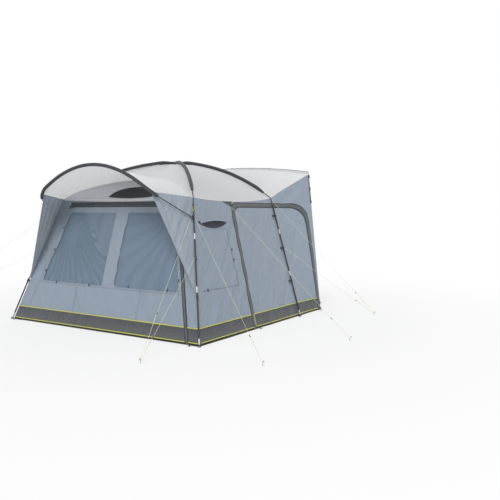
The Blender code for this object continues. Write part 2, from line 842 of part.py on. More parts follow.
def canopy_edge(half):
    # Front edge of the canopy behind the hoop's sleeve, as far as the wing's corner
    foot, eave = front_corner(0.0), front_corner(EAVE_FRONT_Z)
    knee = at(KNEE_X, KNEE_Y, KNEE_Z)
    out = (eave - foot).cross(knee - foot).normalized()
    edge = []
    for i in range(ARM_STEPS + 1):
        share = i / ARM_STEPS
        here = half[i]
        before = half[i - 1] if i else flip(half[1])
        along = (half[i + 1] - before).normalized()
        back = roof_break(share) - here
        back = (back - along * back.dot(along)).normalized()
        turn = max(0.0, 4.0 * share - 3.0)
        back = (back - out * WING_TURN * turn).normalized()
        edge.append(here + back * (HOOP_SLEEVE_RADIUS + GAP + CORNER_CLEAR * turn))
    return edge


def porch_cloth():
    edge = canopy_edge(hoop_half())
    lift = Vector((0.0, -2.0 * SEAM, CLOTH + SEAM))
    columns = [[lerp(front, roof_break(share) + lift, t) for t in shares(4, 0.0)]
               for front, share in zip(whole_hoop(edge), shares(2 * ARM_STEPS))]
    cloth("canopy", list(zip(*columns)), "roof_cloth")
    foot, eave = front_corner(PANEL_LIFT), front_corner(EAVE_FRONT_Z - ROOF_DROP)
    corner = edge[-1] - Vector((0.0, 0.0, ROOF_DROP))
    rows = []
    for q in shares(10, 0.04):
        leg_edge = lerp(foot, eave, q)
        free = lerp(lerp(foot, corner, q), leg_edge, WING_HOLLOW * 4.0 * q * (1.0 - q))
        rows.append(trimmed([lerp(free, leg_edge, t) for t in shares(2, 0.0)],
                            0.0, 2.0 * SEAM))
    for side, sign in SIDES.items():
        cloth("wing_" + side, mirrored(rows, sign), "wall_cloth")


def front_wall(carrier):
    corners, backs = panel_corners(), (0.0, 0.0, PANEL_CORNER, PANEL_CORNER)
    panel, opening = outline_pair("panel", "Y", corners, backs)
    zip_band = band("front_zip_band", "Y", corners, backs)
    whole = front_rows(HEM_LIFT, None, 2 * ARM_STEPS)
    cloth("front_surround", whole, "wall_cloth", cuts=[opening])
    upper = front_rows(SKIRT_HEIGHT + SEAM / 2.0, PANEL_TOP_Z + ZIP_WIDTH)
    skirt = front_rows(PANEL_LIFT, SKIRT_HEIGHT - SEAM / 2.0)
    holes = []
    for side, sign in SIDES.items():
        frame = window_corners(sign)
        pane, hole = outline_pair("window_" + side, "Y", frame, (WINDOW_CORNER,) * 4)
        holes.append(hole)
        drape = prism("curtain_" + side, "Y", grown(frame, CURTAIN_MARGIN))
        hang(cloth("front_window_" + side, upper, "clear_film", keep=pane), carrier)
        hang(cloth("front_curtain_" + side, upper, "curtain_cloth", keep=drape,
                   depth=CLOTH + GAP), carrier)
    hang(cloth("front_panel", upper, "wall_cloth", keep=panel, cuts=holes), carrier)
    hang(cloth("front_panel_skirt", skirt, "skirt_cloth", keep=panel), carrier)
    hang(cloth("front_zip", front_rows(PANEL_LIFT, PANEL_TOP_Z + ZIP_WIDTH), "zip_cloth",
               keep=zip_band, depth=-GAP - ZIP_THICK, thick=ZIP_THICK), carrier)


def side_walls(doors, flaps):
    seam_low, seam_high = SKIRT_HEIGHT - SEAM / 2.0, SKIRT_HEIGHT + SEAM / 2.0
    backs = (0.0, 0.0, DOOR_REAR_CORNER, DOOR_FRONT_CORNER)
    whole = door_corners(-SKIRT_HEIGHT, DOOR_TOP_Z)
    doorway = prism("doorway", "X", rounded(grown(whole, SEAM), backs, 8))
    leaf = prism("door_leaf", "X", rounded(door_corners(seam_high, DOOR_TOP_Z), backs, 8))
    hem = prism("door_hem", "X", door_corners(PANEL_LIFT, seam_low))
    zip_band = band("door_zip_band", "X", whole, backs, 8)
    blind, window = outline_pair("side_blind", "X", blind_corners(), (WINDOW_CORNER,) * 4)
    flap = prism("vent_flap", "X", rounded(flap_corners(), (FLAP_CORNER,) * 4))
    middle = (DOOR_FRONT_Y + DOOR_REAR_Y) / 2.0 - MID_Y
    front = [(-CUT_REACH, -CUT_REACH), (middle, -CUT_REACH)]
    above = prism("skirt_cut", "X", [*front, (middle, seam_high), (-CUT_REACH, seam_high)])
    below = prism("skirt_keep", "X", [*front, (middle, seam_low), (-CUT_REACH, seam_low)])
    for side, sign in SIDES.items():
        wall = mirrored(side_rows(), sign)
        cloth("side_wall_" + side, wall, "wall_cloth", cuts=[doorway, window, above])
        cloth("side_skirt_" + side, wall, "skirt_cloth", keep=below, cuts=[doorway])
        cloth("side_blind_" + side, wall, "wall_cloth", keep=blind)
        cloth("door_zip_" + side, wall, "zip_cloth", keep=zip_band,
              depth=-GAP - ZIP_THICK, thick=ZIP_THICK)
        hang(cloth("door_" + side, wall, "wall_cloth", keep=leaf), doors[side])
        hang(cloth("door_skirt_" + side, wall, "skirt_cloth", keep=hem), doors[side])
        hang(cloth("vent_flap_" + side, wall, "wall_cloth", keep=flap,
                   depth=-GAP - CLOTH), flaps[side])


def rail_strip():
    # Flat welt behind the tunnel with a bead along its top for the van's rail
    line = [rail(share) for share in shares(ARM_STEPS)]
    below = [(p.x, p.z - STRIP_LOWER) for p in line]
    above = [(p.x, p.z + STRIP_UPPER) for p in reversed(line)]
    middle = line[0].y + STRIP_THICK / 2.0
    welt = prism("rail_welt", "Y", below + above, reach=STRIP_THICK / 2.0)
    mesh = welt.data.copy()
    mesh.transform(Matrix.Translation((0.0, middle, 0.0)))
    bpy.data.objects.remove(welt, do_unlink=True)
    made = place("rail_strip", mesh, "black_plastic")
    crown = [Vector((p.x, middle, p.z + STRIP_UPPER)) for p in line]
    path = line_curve("rail_bead", crown, BEAD_RADIUS, True, 2)
    bead = guide("rail_bead", baked(guide("rail_bead_line", path)))
    return combine(made, [bead], "UNION")


# Guy lines and their pegs


def beside(centre, axis, way, radius):
    # Where a line is tied beside a pole, on the side that it pulls to
    axis = axis.normalized()
    out = Vector((*way, 0.0))
    out = (out - axis * out.dot(axis)).normalized()
    return centre + out * (radius + GUY_RADIUS + GAP)


def peg_shaft(where, way, height):
    return where + way * PEG_LEAN * height + Vector((0.0, 0.0, height))


def guy_peg(name, where, way):
    # Hooked peg, shown from the ground up, leaning away from the awning
    up = Vector((0.0, 0.0, 1.0))
    foot = peg_shaft(where, way, PEG_RADIUS / 2.0 + GAP)
    top = peg_shaft(where, way, PEG_HEIGHT)
    half = PEG_HOOK / 2.0
    hook = [top + way * half * (1.0 - math.cos(a)) + up * half * math.sin(a)
            for a in (math.pi * t for t in shares(4, 0.2))]
    tube(name, [foot, top, *hook, hook[-1] - up * half], PEG_RADIUS, "peg_steel")


def guy_line(name, start, end):
    points = [lerp(start, end, t) - Vector((0.0, 0.0, GUY_SAG * 4.0 * t * (1.0 - t)))
              for t in shares(8, 0.0)]
    tube(name, points, GUY_RADIUS, "guy_line")


def guy_lines():
    clip = LEG_RADIUS + CLIP_WALL
    front_way = leg_line(1.0, True) - leg_line(0.0, True)
    rear_way = leg_line(1.0, False) - leg_line(0.0, False)
    arm = arm_points(False, 0.0)
    wall = lerp(front_corner(EAVE_PATCH_Z), rear_corner(EAVE_PATCH_Z), EAVE_PATCH)
    normal = Vector((1.0, 0.0, LEAN)).normalized()
    upper = beside(leg_line(FRONT_CLIP_Z[2], True), front_way, (1.0, 0.0), clip)
    lower = beside(leg_line(FRONT_CLIP_Z[1], True), front_way, (0.3, -1.0), clip)
    low_tie, high_tie = GUY_TIES
    lines = {
        "front_upper": (upper, "front", high_tie),
        "front_lower": (lower, "front", low_tie),
        "hub": (beside(leg_line(HUB_Z, True), front_way, (1.0, -0.3), clip), "hub", low_tie),
        "eave": (wall + normal * (GUY_RADIUS + 2.0 * GAP), "eave", low_tie),
        "rear_upper": (beside(arm[2], arm[3] - arm[1], (1.0, 0.3), POLE_RADIUS), "rear",
                       high_tie),
        "rear_lower": (beside(leg_line(REAR_CLIP_Z[1], False), rear_way, (1.0, 0.2), clip),
                       "rear", low_tie),
    }
    for name, (start, peg, height) in lines.items():
        where, lean = PEGS[peg]
        way = Vector((*lean, 0.0)).normalized()
        shaft = peg_shaft(at(*where, 0.0), way, height)
        guy_line("guy_" + name, start, shaft - way * (PEG_RADIUS + GUY_TURN + GAP))
    guy_line("guy_left_upper", flip(upper), at(*LEFT_UPPER_END))
    guy_line("guy_left_lower", flip(lower), at(*LEFT_LOWER_END))
    for name, (where, lean) in PEGS.items():
        guy_peg("guy_peg_" + name, at(*where, 0.0), Vector((*lean, 0.0)).normalized())


def main():
    clear_scene()
    roof_poles()
    for side, sign in SIDES.items():
        leg("front_leg_" + side, True, sign)
        leg("rear_leg_" + side, False, sign)
        hub(side, sign)
    pin, _ = hub_axis()
    porch(pivot("porch_pivot", Vector((0.0, pin.y, pin.z))))
    roof()
    gable()
    porch_cloth()
    front_wall(pivot("panel_hinge", at(0.0, 0.0, PANEL_LIFT)))
    doors, flaps = {}, {}
    flap_y = (FLAP_FRONT_Y + FLAP_REAR_Y) / 2.0 - MID_Y
    for side, sign in SIDES.items():
        doors[side] = pivot("door_hinge_" + side,
                            at(sign * DOOR_HINGE_X, DOOR_HINGE_Y, DOOR_TOP_Z))
        flap_x = sign * front_corner(FLAP_TOP_Z).x
        flaps[side] = pivot("flap_hinge_" + side, Vector((flap_x, flap_y, FLAP_TOP_Z)))
    side_walls(doors, flaps)
    rail_strip()
    guy_lines()


AWNING = collection("awning")
CUTTERS = collection("cutters")
main()
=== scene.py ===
import json
import math

import bmesh
import bpy
from mathutils import Matrix, Vector, noise
from mathutils.geometry import intersect_line_line

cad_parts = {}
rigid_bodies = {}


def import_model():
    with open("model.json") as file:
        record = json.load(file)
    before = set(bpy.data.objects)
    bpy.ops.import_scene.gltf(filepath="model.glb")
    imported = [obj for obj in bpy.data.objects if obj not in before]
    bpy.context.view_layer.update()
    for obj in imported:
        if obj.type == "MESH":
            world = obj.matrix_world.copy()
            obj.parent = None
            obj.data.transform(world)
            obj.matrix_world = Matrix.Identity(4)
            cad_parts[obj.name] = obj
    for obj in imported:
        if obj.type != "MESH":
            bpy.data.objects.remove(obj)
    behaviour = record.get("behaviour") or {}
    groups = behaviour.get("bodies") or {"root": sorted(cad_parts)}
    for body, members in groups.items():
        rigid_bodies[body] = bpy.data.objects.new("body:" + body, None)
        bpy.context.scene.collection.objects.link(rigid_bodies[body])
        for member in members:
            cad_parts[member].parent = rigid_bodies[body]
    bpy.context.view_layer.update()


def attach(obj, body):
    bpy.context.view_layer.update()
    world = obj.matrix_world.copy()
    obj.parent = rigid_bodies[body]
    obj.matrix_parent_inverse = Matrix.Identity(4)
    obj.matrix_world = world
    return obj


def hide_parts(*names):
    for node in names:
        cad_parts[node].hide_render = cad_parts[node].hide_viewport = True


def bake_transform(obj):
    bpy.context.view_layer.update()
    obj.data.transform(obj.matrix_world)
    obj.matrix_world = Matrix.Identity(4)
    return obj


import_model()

scene = bpy.context.scene
midY = 1.56525  # depths are measured from the front wall's foot, and at() moves them
sides = {"right": 1.0, "left": -1.0}
cabin = {
    "halfWidth": 1.700, "depth": 2.455, "tunnel": 0.731, "eaveFront": 1.748, "eaveRear": 1.764,
    "inset": 0.497, "frontSetback": 0.530, "rearSetback": 0.039, "eaveSag": 0.050,
    "frontSag": 0.030, "peakY": 1.655, "peakZ": 2.280, "railHalf": 1.473, "railMid": 2.270,
    "railEnd": 2.162, "skirt": 0.195, "beadFoot": 0.0330,
    "breakY": (1.040, 0.850), "breakZ": (2.030, 1.969), "gableHollow": 0.440, "legOff": 0.024,
}
seamGap = 0.0003  # least gap between pieces that lie together, and half of one between cloths
lean = cabin["inset"] / cabin["eaveFront"]
setback = cabin["frontSetback"] / cabin["eaveFront"]
cornerX = cabin["halfWidth"] - cabin["inset"]
rearCornerY = cabin["depth"] - cabin["rearSetback"]
railY = cabin["depth"] + cabin["tunnel"]


def at(x, y, z):
    return Vector((x, y - midY, z))


def up(height):
    return Vector((0.0, 0.0, height))


def lerp(a, b, t):
    return a + (b - a) * t


def onSide(point, sign):
    return point if sign > 0.0 else Vector((-point.x, point.y, point.z))


def rowsOnSide(rows, sign):
    # Rows of the right side, or the left's, turned about so that they face outwards too
    return rows if sign > 0.0 else [[onSide(p, sign) for p in reversed(row)] for row in rows]


def sideOut(sign):
    return Vector((sign, 0.0, lean)).normalized()


def steps(count, first=0.0, last=1.0):
    return [lerp(first, last, i / count) for i in range(count + 1)]


def roundTurn(count):
    return steps(count, 0.0, 2.0 * math.pi)[:-1]


def ease(value, low, high):
    t = min(1.0, max(0.0, (value - low) / (high - low)))
    return t * t * (3.0 - 2.0 * t)


# Camera

view = {"place": (5.895, -7.01925, 1.565), "yaw": -0.570, "pitch": -0.064, "lens": 43.2}


def makeCamera():
    data = bpy.data.cameras.new("camera")
    data.sensor_width = 36.0
    data.lens = view["lens"]
    data.clip_end = 200.0
    camera = bpy.data.objects.new("camera", data)
    scene.collection.objects.link(camera)
    cosine = math.cos(view["pitch"])
    ahead = Vector((math.sin(view["yaw"]) * cosine, math.cos(view["yaw"]) * cosine,
                    math.sin(view["pitch"])))
    camera.location = view["place"]
    camera.rotation_euler = ahead.to_track_quat("-Z", "Y").to_euler()
    scene.camera = camera


makeCamera()
print("camera set")


# Shader nodes

def plug(tree, sockets, values):
    for key, value in values.items():
        if hasattr(value, "is_output"):
            tree.links.new(value, sockets[key])
        else:
            sockets[key].default_value = value


def wire(tree, kind, inputs=None, **settings):
    made = tree.nodes.new(kind)
    for key, value in settings.items():
        setattr(made, key, value)
    plug(tree, made.inputs, inputs or {})
    return made


def group(name, ins, outs):
    tree = bpy.data.node_groups.new(name, "ShaderNodeTree")
    for label, kind, value in ins:
        socket = tree.interface.new_socket(name=label, in_out="INPUT", socket_type=kind)
        socket.default_value = value
    for label, kind in outs:
        tree.interface.new_socket(name=label, in_out="OUTPUT", socket_type=kind)
    return tree, tree.nodes.new("NodeGroupInput").outputs, tree.nodes.new("NodeGroupOutput").inputs


def maths(tree, operation, a, b=0.0):
    return wire(tree, "ShaderNodeMath", {0: a, 1: b}, operation=operation).outputs[0]


def product(tree, a, b):
    return maths(tree, "MULTIPLY", a, b)


def placeOn(tree):
    return wire(tree, "ShaderNodeTexCoord").outputs["Object"]


def splitPlace(tree):
    return wire(tree, "ShaderNodeSeparateXYZ", {0: placeOn(tree)}).outputs


def noiseOver(tree, place, scale, detail, distortion=0.0):
    return wire(tree, "ShaderNodeTexNoise", {"Vector": place, "Scale": scale, "Detail": detail,
                                             "Distortion": distortion}).outputs[0]


def spread(tree, value, low, high, start=0.0, end=1.0):
    return wire(tree, "ShaderNodeMapRange", {"Value": value, 1: low, 2: high, 3: start,
                                             4: end}).outputs[0]


def mixed(tree, share, one, other):
    return wire(tree, "ShaderNodeMix", {0: share, 6: one, 7: other}, data_type="RGBA").outputs[2]


def scaled(tree, colour, level):
    return wire(tree, "ShaderNodeVectorMath", {0: colour, "Scale": level}, operation="SCALE").outputs[0]


def raised(tree, height, strength):
    return wire(tree, "ShaderNodeBump", {"Height": height, "Strength": strength,
                                         "Distance": 1.0}).outputs[0]


def weaveGroup():
    # Crossed threads, as the height of the cloth
    tree, ins, outs = group("weave", [("Pitch", "NodeSocketFloat", 0.0018)],
                            [("Height", "NodeSocketFloat")])
    split = splitPlace(tree)
    waves = []
    for value in (maths(tree, "ADD", split["X"], split["Y"]), split["Z"]):
        turn = maths(tree, "DIVIDE", product(tree, value, 2.0 * math.pi), ins["Pitch"])
        waves.append(maths(tree, "SINE", turn))
    plug(tree, outs, {"Height": product(tree, *waves)})
    return tree


def shadeGroup():
    # Uneven dye, handling marks and dust near the ground
    dust = {"colour": (0.46, 0.42, 0.36, 1.0), "top": 0.16}
    tree, ins, outs = group(
        "cloth shade",
        [("Colour", "NodeSocketColor", (0.3, 0.36, 0.43, 1.0)), ("Patches", "NodeSocketFloat", 0.06),
         ("Scale", "NodeSocketFloat", 2.0), ("Dust", "NodeSocketFloat", 0.1)],
        [("Colour", "NodeSocketColor"), ("Roughness", "NodeSocketFloat")])
    place = placeOn(tree)
    broad = noiseOver(tree, place, ins["Scale"], 4.0)
    fine = noiseOver(tree, place, 90.0, 2.0)
    both = maths(tree, "ADD", product(tree, broad, 0.75), product(tree, fine, 0.25))
    swing = product(tree, maths(tree, "SUBTRACT", both, 0.5), ins["Patches"])
    tinted = scaled(tree, ins["Colour"], maths(tree, "ADD", product(tree, swing, 4.0), 1.0))
    low = spread(tree, splitPlace(tree)["Z"], 0.0, dust["top"], 1.0, 0.0)
    dusty = product(tree, product(tree, low, ins["Dust"]), broad)
    plug(tree, outs, {"Colour": mixed(tree, dusty, tinted, dust["colour"]),
                      "Roughness": spread(tree, both, 0.3, 0.7, 0.62, 0.86)})
    return tree


def creaseGroup():
    # Soft packing creases and long slanting folds, as a height in metres
    slants = ({"turn": 1.05, "across": 7.0, "along": 0.9}, {"turn": 1.95, "across": 5.0, "along": 0.8})
    tree, ins, outs = group("creases", [("Size", "NodeSocketFloat", 5.0),
                                        ("Depth", "NodeSocketFloat", 0.002),
                                        ("Folds", "NodeSocketFloat", 0.0)],
                            [("Height", "NodeSocketFloat")])
    swirl = noiseOver(tree, placeOn(tree), ins["Size"], 3.0, 1.4)
    ridgeLine = maths(tree, "ABSOLUTE", maths(tree, "SUBTRACT", swirl, 0.5))
    height = product(tree, maths(tree, "POWER", ridgeLine, 0.7), ins["Depth"])
    split = splitPlace(tree)
    level = maths(tree, "ADD", split["X"], split["Y"])
    for slant in slants:
        sine, cosine = math.sin(slant["turn"]), math.cos(slant["turn"])
        u = maths(tree, "SUBTRACT", product(tree, level, sine * slant["across"]),
                  product(tree, split["Z"], cosine * slant["across"]))
        v = maths(tree, "ADD", product(tree, level, cosine * slant["along"]),
                  product(tree, split["Z"], sine * slant["along"]))
        drawn = wire(tree, "ShaderNodeCombineXYZ", {0: u, 1: v, 2: slant["turn"]}).outputs[0]
        fold = product(tree, noiseOver(tree, drawn, 1.0, 2.0), ins["Folds"])
        height = maths(tree, "ADD", height, fold)
    plug(tree, outs, {"Height": height})
    return tree


def scuffGroup():
    # Worn and dull places on hard pieces
    worn = {"colour": (0.3, 0.3, 0.3, 1.0), "depth": 0.0004}
    tree, ins, outs = group("scuffs", [("Colour", "NodeSocketColor", (0.02, 0.02, 0.02, 1.0)),
                                       ("Wear", "NodeSocketFloat", 0.3),
                                       ("Scale", "NodeSocketFloat", 30.0)],
                            [("Colour", "NodeSocketColor"), ("Roughness", "NodeSocketFloat"),
                             ("Height", "NodeSocketFloat")])
    marks = noiseOver(tree, placeOn(tree), ins["Scale"], 5.0)
    share = product(tree, spread(tree, marks, 0.5, 0.75), ins["Wear"])
    plug(tree, outs, {"Colour": mixed(tree, share, ins["Colour"], worn["colour"]),
                      "Roughness": spread(tree, marks, 0.3, 0.7, 0.28, 0.55),
                      "Height": product(tree, marks, worn["depth"])})
    return tree


effects = {"weave": weaveGroup(), "shade": shadeGroup(), "creases": creaseGroup(),
           "scuffs": scuffGroup()}


def useGroup(tree, name, inputs):
    made = tree.nodes.new("ShaderNodeGroup")
    made.node_tree = effects[name]
    plug(tree, made.inputs, inputs)
    return made.outputs


def emptySkin(name):
    skin = bpy.data.materials.new(name)
    skin.use_nodes = True
    return skin, skin.node_tree, skin.node_tree.nodes["Principled BSDF"].inputs


def madeSkin(skin):
    # A finished skin's tree, its shader's sockets and what feeds its base colour
    sockets = skin.node_tree.nodes["Principled BSDF"].inputs
    return skin.node_tree, sockets, sockets["Base Color"].links[0].from_socket


def clothSkin(name, colour, patches=0.05, scale=1.6, dust=0.0, crease=0.004, size=4.0,
              pitch=0.0018, thread=0.00010, sheen=0.15, alpha=1.0, through=0.0, folds=0.0, coat=0.0):
    skin, tree, sockets = emptySkin(name)
    shade = useGroup(tree, "shade", {"Colour": (*colour, 1.0), "Patches": patches,
                                     "Scale": scale, "Dust": dust})
    creases = useGroup(tree, "creases", {"Size": size, "Depth": crease, "Folds": folds})
    threads = useGroup(tree, "weave", {"Pitch": pitch})
    height = maths(tree, "ADD", creases["Height"], product(tree, threads["Height"], thread))
    plug(tree, sockets, {
        "Base Color": shade["Colour"], "Roughness": shade["Roughness"],
        "Normal": raised(tree, height, 0.8), "Sheen Weight": sheen, "Alpha": alpha,
        "Coat Weight": coat, "Subsurface Weight": through, "Subsurface Radius": (1.0, 1.0, 1.0),
        "Subsurface Scale": 0.030})
    return skin


def hardSkin(name, colour, wear=0.2, scale=30.0, metallic=0.0, coat=0.0, bump=0.6):
    skin, tree, sockets = emptySkin(name)
    scuffs = useGroup(tree, "scuffs", {"Colour": (*colour, 1.0), "Wear": wear, "Scale": scale})
    plug(tree, sockets, {"Base Color": scuffs["Colour"], "Roughness": scuffs["Roughness"],
                         "Metallic": metallic, "Coat Weight": coat})
    if bump:
        plug(tree, sockets, {"Normal": raised(tree, scuffs["Height"], bump)})
    return skin


def skirtSkin():
    # Dark mud wall, black under the lower piping as a painted shadow of the hem
    # Top and colour of the painted shadow under the lower piping
    flap = {"top": 0.030, "colour": (0.008, 0.008, 0.009, 1.0)}
    skin = clothSkin("skirt cloth", (0.066, 0.074, 0.084), patches=0.12, dust=0.20, crease=0.030,
                     size=9.0, folds=0.030)
    tree, sockets, tint = madeSkin(skin)
    hemShadow = maths(tree, "LESS_THAN", splitPlace(tree)["Z"], flap["top"])
    plug(tree, sockets, {"Base Color": mixed(tree, hemShadow, tint, flap["colour"])})
    return skin


def curtainSkin():
    # Thin cloth, with painted shade in the valleys of its pleats and painted light on their crests
    skin = clothSkin("curtain cloth", (0.190, 0.247, 0.315), patches=0.08, crease=0.006)
    tree, sockets, tint = madeSkin(skin)
    pleat = wire(tree, "ShaderNodeAttribute", attribute_name="pleat").outputs["Fac"]
    # Colour from 0.50 in the valleys to 1.45 on the crests: painted shade and painted light
    level = spread(tree, pleat, -1.0, 1.0, 0.50, 1.45)
    plug(tree, sockets, {"Base Color": scaled(tree, tint, level)})
    return skin


def legSkin():
    # Black powder coat, bare metal at the foot and where the leg's sections join
    metal = {"joints": (0.640, 1.265), "half": 0.034, "foot": 0.095,
             "colour": (0.50, 0.51, 0.53, 1.0), "metallic": 0.85}
    skin = hardSkin("coated leg", (0.018, 0.018, 0.020), wear=0.15, scale=40.0, bump=0.5)
    tree, sockets, tint = madeSkin(skin)
    height = splitPlace(tree)["Z"]
    bare = maths(tree, "LESS_THAN", height, metal["foot"])
    for middle in metal["joints"]:
        away = maths(tree, "ABSOLUTE", maths(tree, "SUBTRACT", height, middle))
        bare = maths(tree, "MAXIMUM", bare, maths(tree, "LESS_THAN", away, metal["half"]))
    plug(tree, sockets, {"Base Color": mixed(tree, bare, tint, metal["colour"]),
                         "Metallic": product(tree, bare, metal["metallic"])})
    return skin


def railSkin():
    # Light welt under a black bead
    welt = (0.60, 0.61, 0.63, 1.0)
    skin = hardSkin("rail strip", (0.016, 0.016, 0.017), wear=0.15, scale=60.0, bump=0.0)
    tree, sockets, tint = madeSkin(skin)
    split = splitPlace(tree)
    reach = maths(tree, "DIVIDE", split["X"], cabin["railHalf"])
    fall = product(tree, product(tree, reach, reach), cabin["railMid"] - cabin["railEnd"])
    bead = maths(tree, "GREATER_THAN", maths(tree, "ADD", split["Z"], fall),
                 cabin["railMid"] + cabin["beadFoot"])
    plug(tree, sockets, {"Base Color": mixed(tree, bead, welt, tint)})
    return skin


skins = {
    "wall": clothSkin("wall cloth", (0.248, 0.302, 0.372), dust=0.15, crease=0.014, through=0.15,
                      folds=0.052),
    "wing": clothSkin("wing cloth", (0.262, 0.312, 0.372), crease=0.012, through=0.22,
                      folds=0.052),
    "roof": clothSkin("roof cloth", (0.765, 0.780, 0.805), patches=0.03, crease=0.006, through=0.80,
                      folds=0.012),
    # Pale gable cloth, its colour raised further as painted light where the canopy shades it
    "gable": clothSkin("gable cloth", (0.930, 0.930, 0.960), patches=0.03),
    "tape": clothSkin("white tape", (0.860, 0.870, 0.890), patches=0.02, crease=0.002, through=0.30),
    "curtain": curtainSkin(),
    "seam": clothSkin("seam", (0.150, 0.185, 0.230), patches=0.10, pitch=0.004),
    "skirt": skirtSkin(),
    "sleeve": clothSkin("sleeve cloth", (0.034, 0.036, 0.040), patches=0.15, size=14.0),
    "net": clothSkin("vent net", (0.030, 0.032, 0.044), pitch=0.006, thread=0.0006, sheen=0.0),
    "zip": clothSkin("zip tape", (0.028, 0.034, 0.036), pitch=0.006, thread=0.0008),
    "cover": clothSkin("zip cover", (0.098, 0.108, 0.106), patches=0.08),
    # The zip hood is a real cover over the zip, and its dark slate is painted shadow
    "hood": clothSkin("zip hood", (0.038, 0.050, 0.064), patches=0.10, pitch=0.004),
    "patch": clothSkin("eave patch", (0.050, 0.058, 0.042), pitch=0.003),
    "piping": clothSkin("piping", (0.560, 0.560, 0.110), patches=0.06, pitch=0.004),
    "webbing": clothSkin("webbing", (0.020, 0.020, 0.022), pitch=0.003, thread=0.0004),
    "film": clothSkin("window film", (0.240, 0.330, 0.430), patches=0.04, crease=0.002, sheen=0.0,
                      thread=0.0, alpha=0.30, coat=0.4),
    "guy": clothSkin("guy braid", (0.700, 0.720, 0.480), patches=0.10, pitch=0.003, thread=0.0003),
    "leg": legSkin(),
    "rail": railSkin(),
    "pole": hardSkin("glass fibre", (0.018, 0.018, 0.020), wear=0.1, coat=0.2),
    "plastic": hardSkin("moulded plastic", (0.016, 0.016, 0.017), wear=0.15, scale=60.0),
    "lime": hardSkin("yellow plastic", (0.560, 0.580, 0.080), wear=0.1, scale=60.0),
    "steel": hardSkin("plated steel", (0.450, 0.450, 0.460), metallic=0.9),
}
print("materials made")


# Making meshes

def show(name, mesh, body, skin, node, replaces=False, bend=None):
    made = bpy.data.objects.new(name, mesh)
    scene.collection.objects.link(made)
    mesh.materials.clear()
    mesh.materials.append(skins[skin])
    mesh.shade_smooth()
    mesh.set_sharp_from_angle(angle=math.radians(38.0))
    if bend:
        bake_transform(made)
    else:
        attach(made, body)
    if replaces:
        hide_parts(node)
    return made


def bakedMesh(source):
    bpy.context.view_layer.update()
    graph = bpy.context.evaluated_depsgraph_get()
    mesh = bpy.data.meshes.new_from_object(source.evaluated_get(graph))
    bpy.data.objects.remove(source, do_unlink=True)
    return mesh


def helper(mesh):
    made = bpy.data.objects.new("helper", mesh)
    scene.collection.objects.link(made)
    return made


def meshFrom(form, name):
    mesh = bpy.data.meshes.new(name)
    form.to_mesh(mesh)
    form.free()
    return mesh


def prism(axis, outline, reach=2.5):
    # Block through the whole part, with the outline as seen along the axis
    form = bmesh.new()
    rings = []
    for depth in (-reach, reach):
        corners = [(depth, *p) if axis == "X" else (p[0], depth, p[1]) for p in outline]
        rings.append([form.verts.new(corner) for corner in corners])
    count = len(outline)
    for i in range(count):
        j = (i + 1) % count
        form.faces.new((rings[0][i], rings[0][j], rings[1][j], rings[1][i]))
    form.faces.new(rings[0])
    form.faces.new(rings[1])
    bmesh.ops.recalc_face_normals(form, faces=form.faces)
    return meshFrom(form, "prism")


def lofted(rows, thick=0.0016, depth=0.0, keep=None, cuts=()):
    # Sheet through rows of points, thickened behind its outer face and then cut
    form = bmesh.new()
    grid = [[form.verts.new(p) for p in row] for row in rows]
    for low, high in zip(grid, grid[1:]):
        for i in range(len(low) - 1):
            form.faces.new((low[i], low[i + 1], high[i + 1], high[i]))
    made = helper(meshFrom(form, "sheet"))
    wall = made.modifiers.new("thickness", "SOLIDIFY")
    wall.thickness = thick
    wall.offset = -1.0 - 2.0 * depth / thick
    tools = []
    blocks = [(block, "DIFFERENCE") for block in cuts]
    if keep is not None:
        blocks.insert(0, (keep, "INTERSECT"))
    for block, operation in blocks:
        tool = helper(block)
        tools.append(tool)
        cut = made.modifiers.new("cut", "BOOLEAN")
        cut.object = tool
        cut.operation = operation
    mesh = bakedMesh(made)
    for tool in tools:
        bpy.data.objects.remove(tool, do_unlink=True)
    return mesh


def moved(mesh, shift):
    for vertex in mesh.vertices:
        vertex.co += shift(vertex.co)
    return mesh


def tubeMesh(points, radius, count=12, closed=False, wave=None):
    # Round tube through the points; wave changes the radius by station and by angle
    form = bmesh.new()
    rings = []
    total = len(points)
    normal = None
    for i, here in enumerate(points):
        before = points[i - 1] if (i or closed) else here
        after = points[(i + 1) % total] if (i + 1 < total or closed) else here
        way = (after - before).normalized()
        if normal is None:
            normal = way.orthogonal().normalized()
        normal = (normal - way * normal.dot(way)).normalized()
        other = way.cross(normal)
        size = radius(i / max(1, total - 1)) if callable(radius) else radius
        ring = []
        for k in range(count):
            angle = 2.0 * math.pi * k / count
            reach = size + (wave(i, angle) if wave else 0.0)
            out = normal * math.cos(angle) + other * math.sin(angle)
            ring.append(form.verts.new(here + out * reach))
        rings.append(ring)
    pairs = list(zip(rings, rings[1:])) + ([(rings[-1], rings[0])] if closed else [])
    for low, high in pairs:
        for k in range(count):
            j = (k + 1) % count
            form.faces.new((low[k], low[j], high[j], high[k]))
    if not closed:
        form.faces.new(rings[0][::-1])
        form.faces.new(rings[-1])
    return meshFrom(form, "tube")


def joinMeshes(meshes):
    form = bmesh.new()
    for mesh in meshes:
        form.from_mesh(mesh)
        bpy.data.meshes.remove(mesh)
    return meshFrom(form, "joined")


def boxMesh(size, place, turn=None, bevel=0.25):
    # Small block with rounded edges
    form = bmesh.new()
    bmesh.ops.create_cube(form, size=1.0)
    bmesh.ops.scale(form, vec=size, verts=form.verts)
    bmesh.ops.bevel(form, geom=form.edges[:], offset=min(size) * bevel, segments=2,
                    affect="EDGES", profile=0.5)
    matrix = Matrix.Translation(place)
    if turn is not None:
        matrix = matrix @ turn.to_track_quat("Z", "Y").to_matrix().to_4x4()
    form.transform(matrix)
    return meshFrom(form, "block")


def clothArea(mesh):
    return sum(face.area for face in mesh.polygons) / 2.0


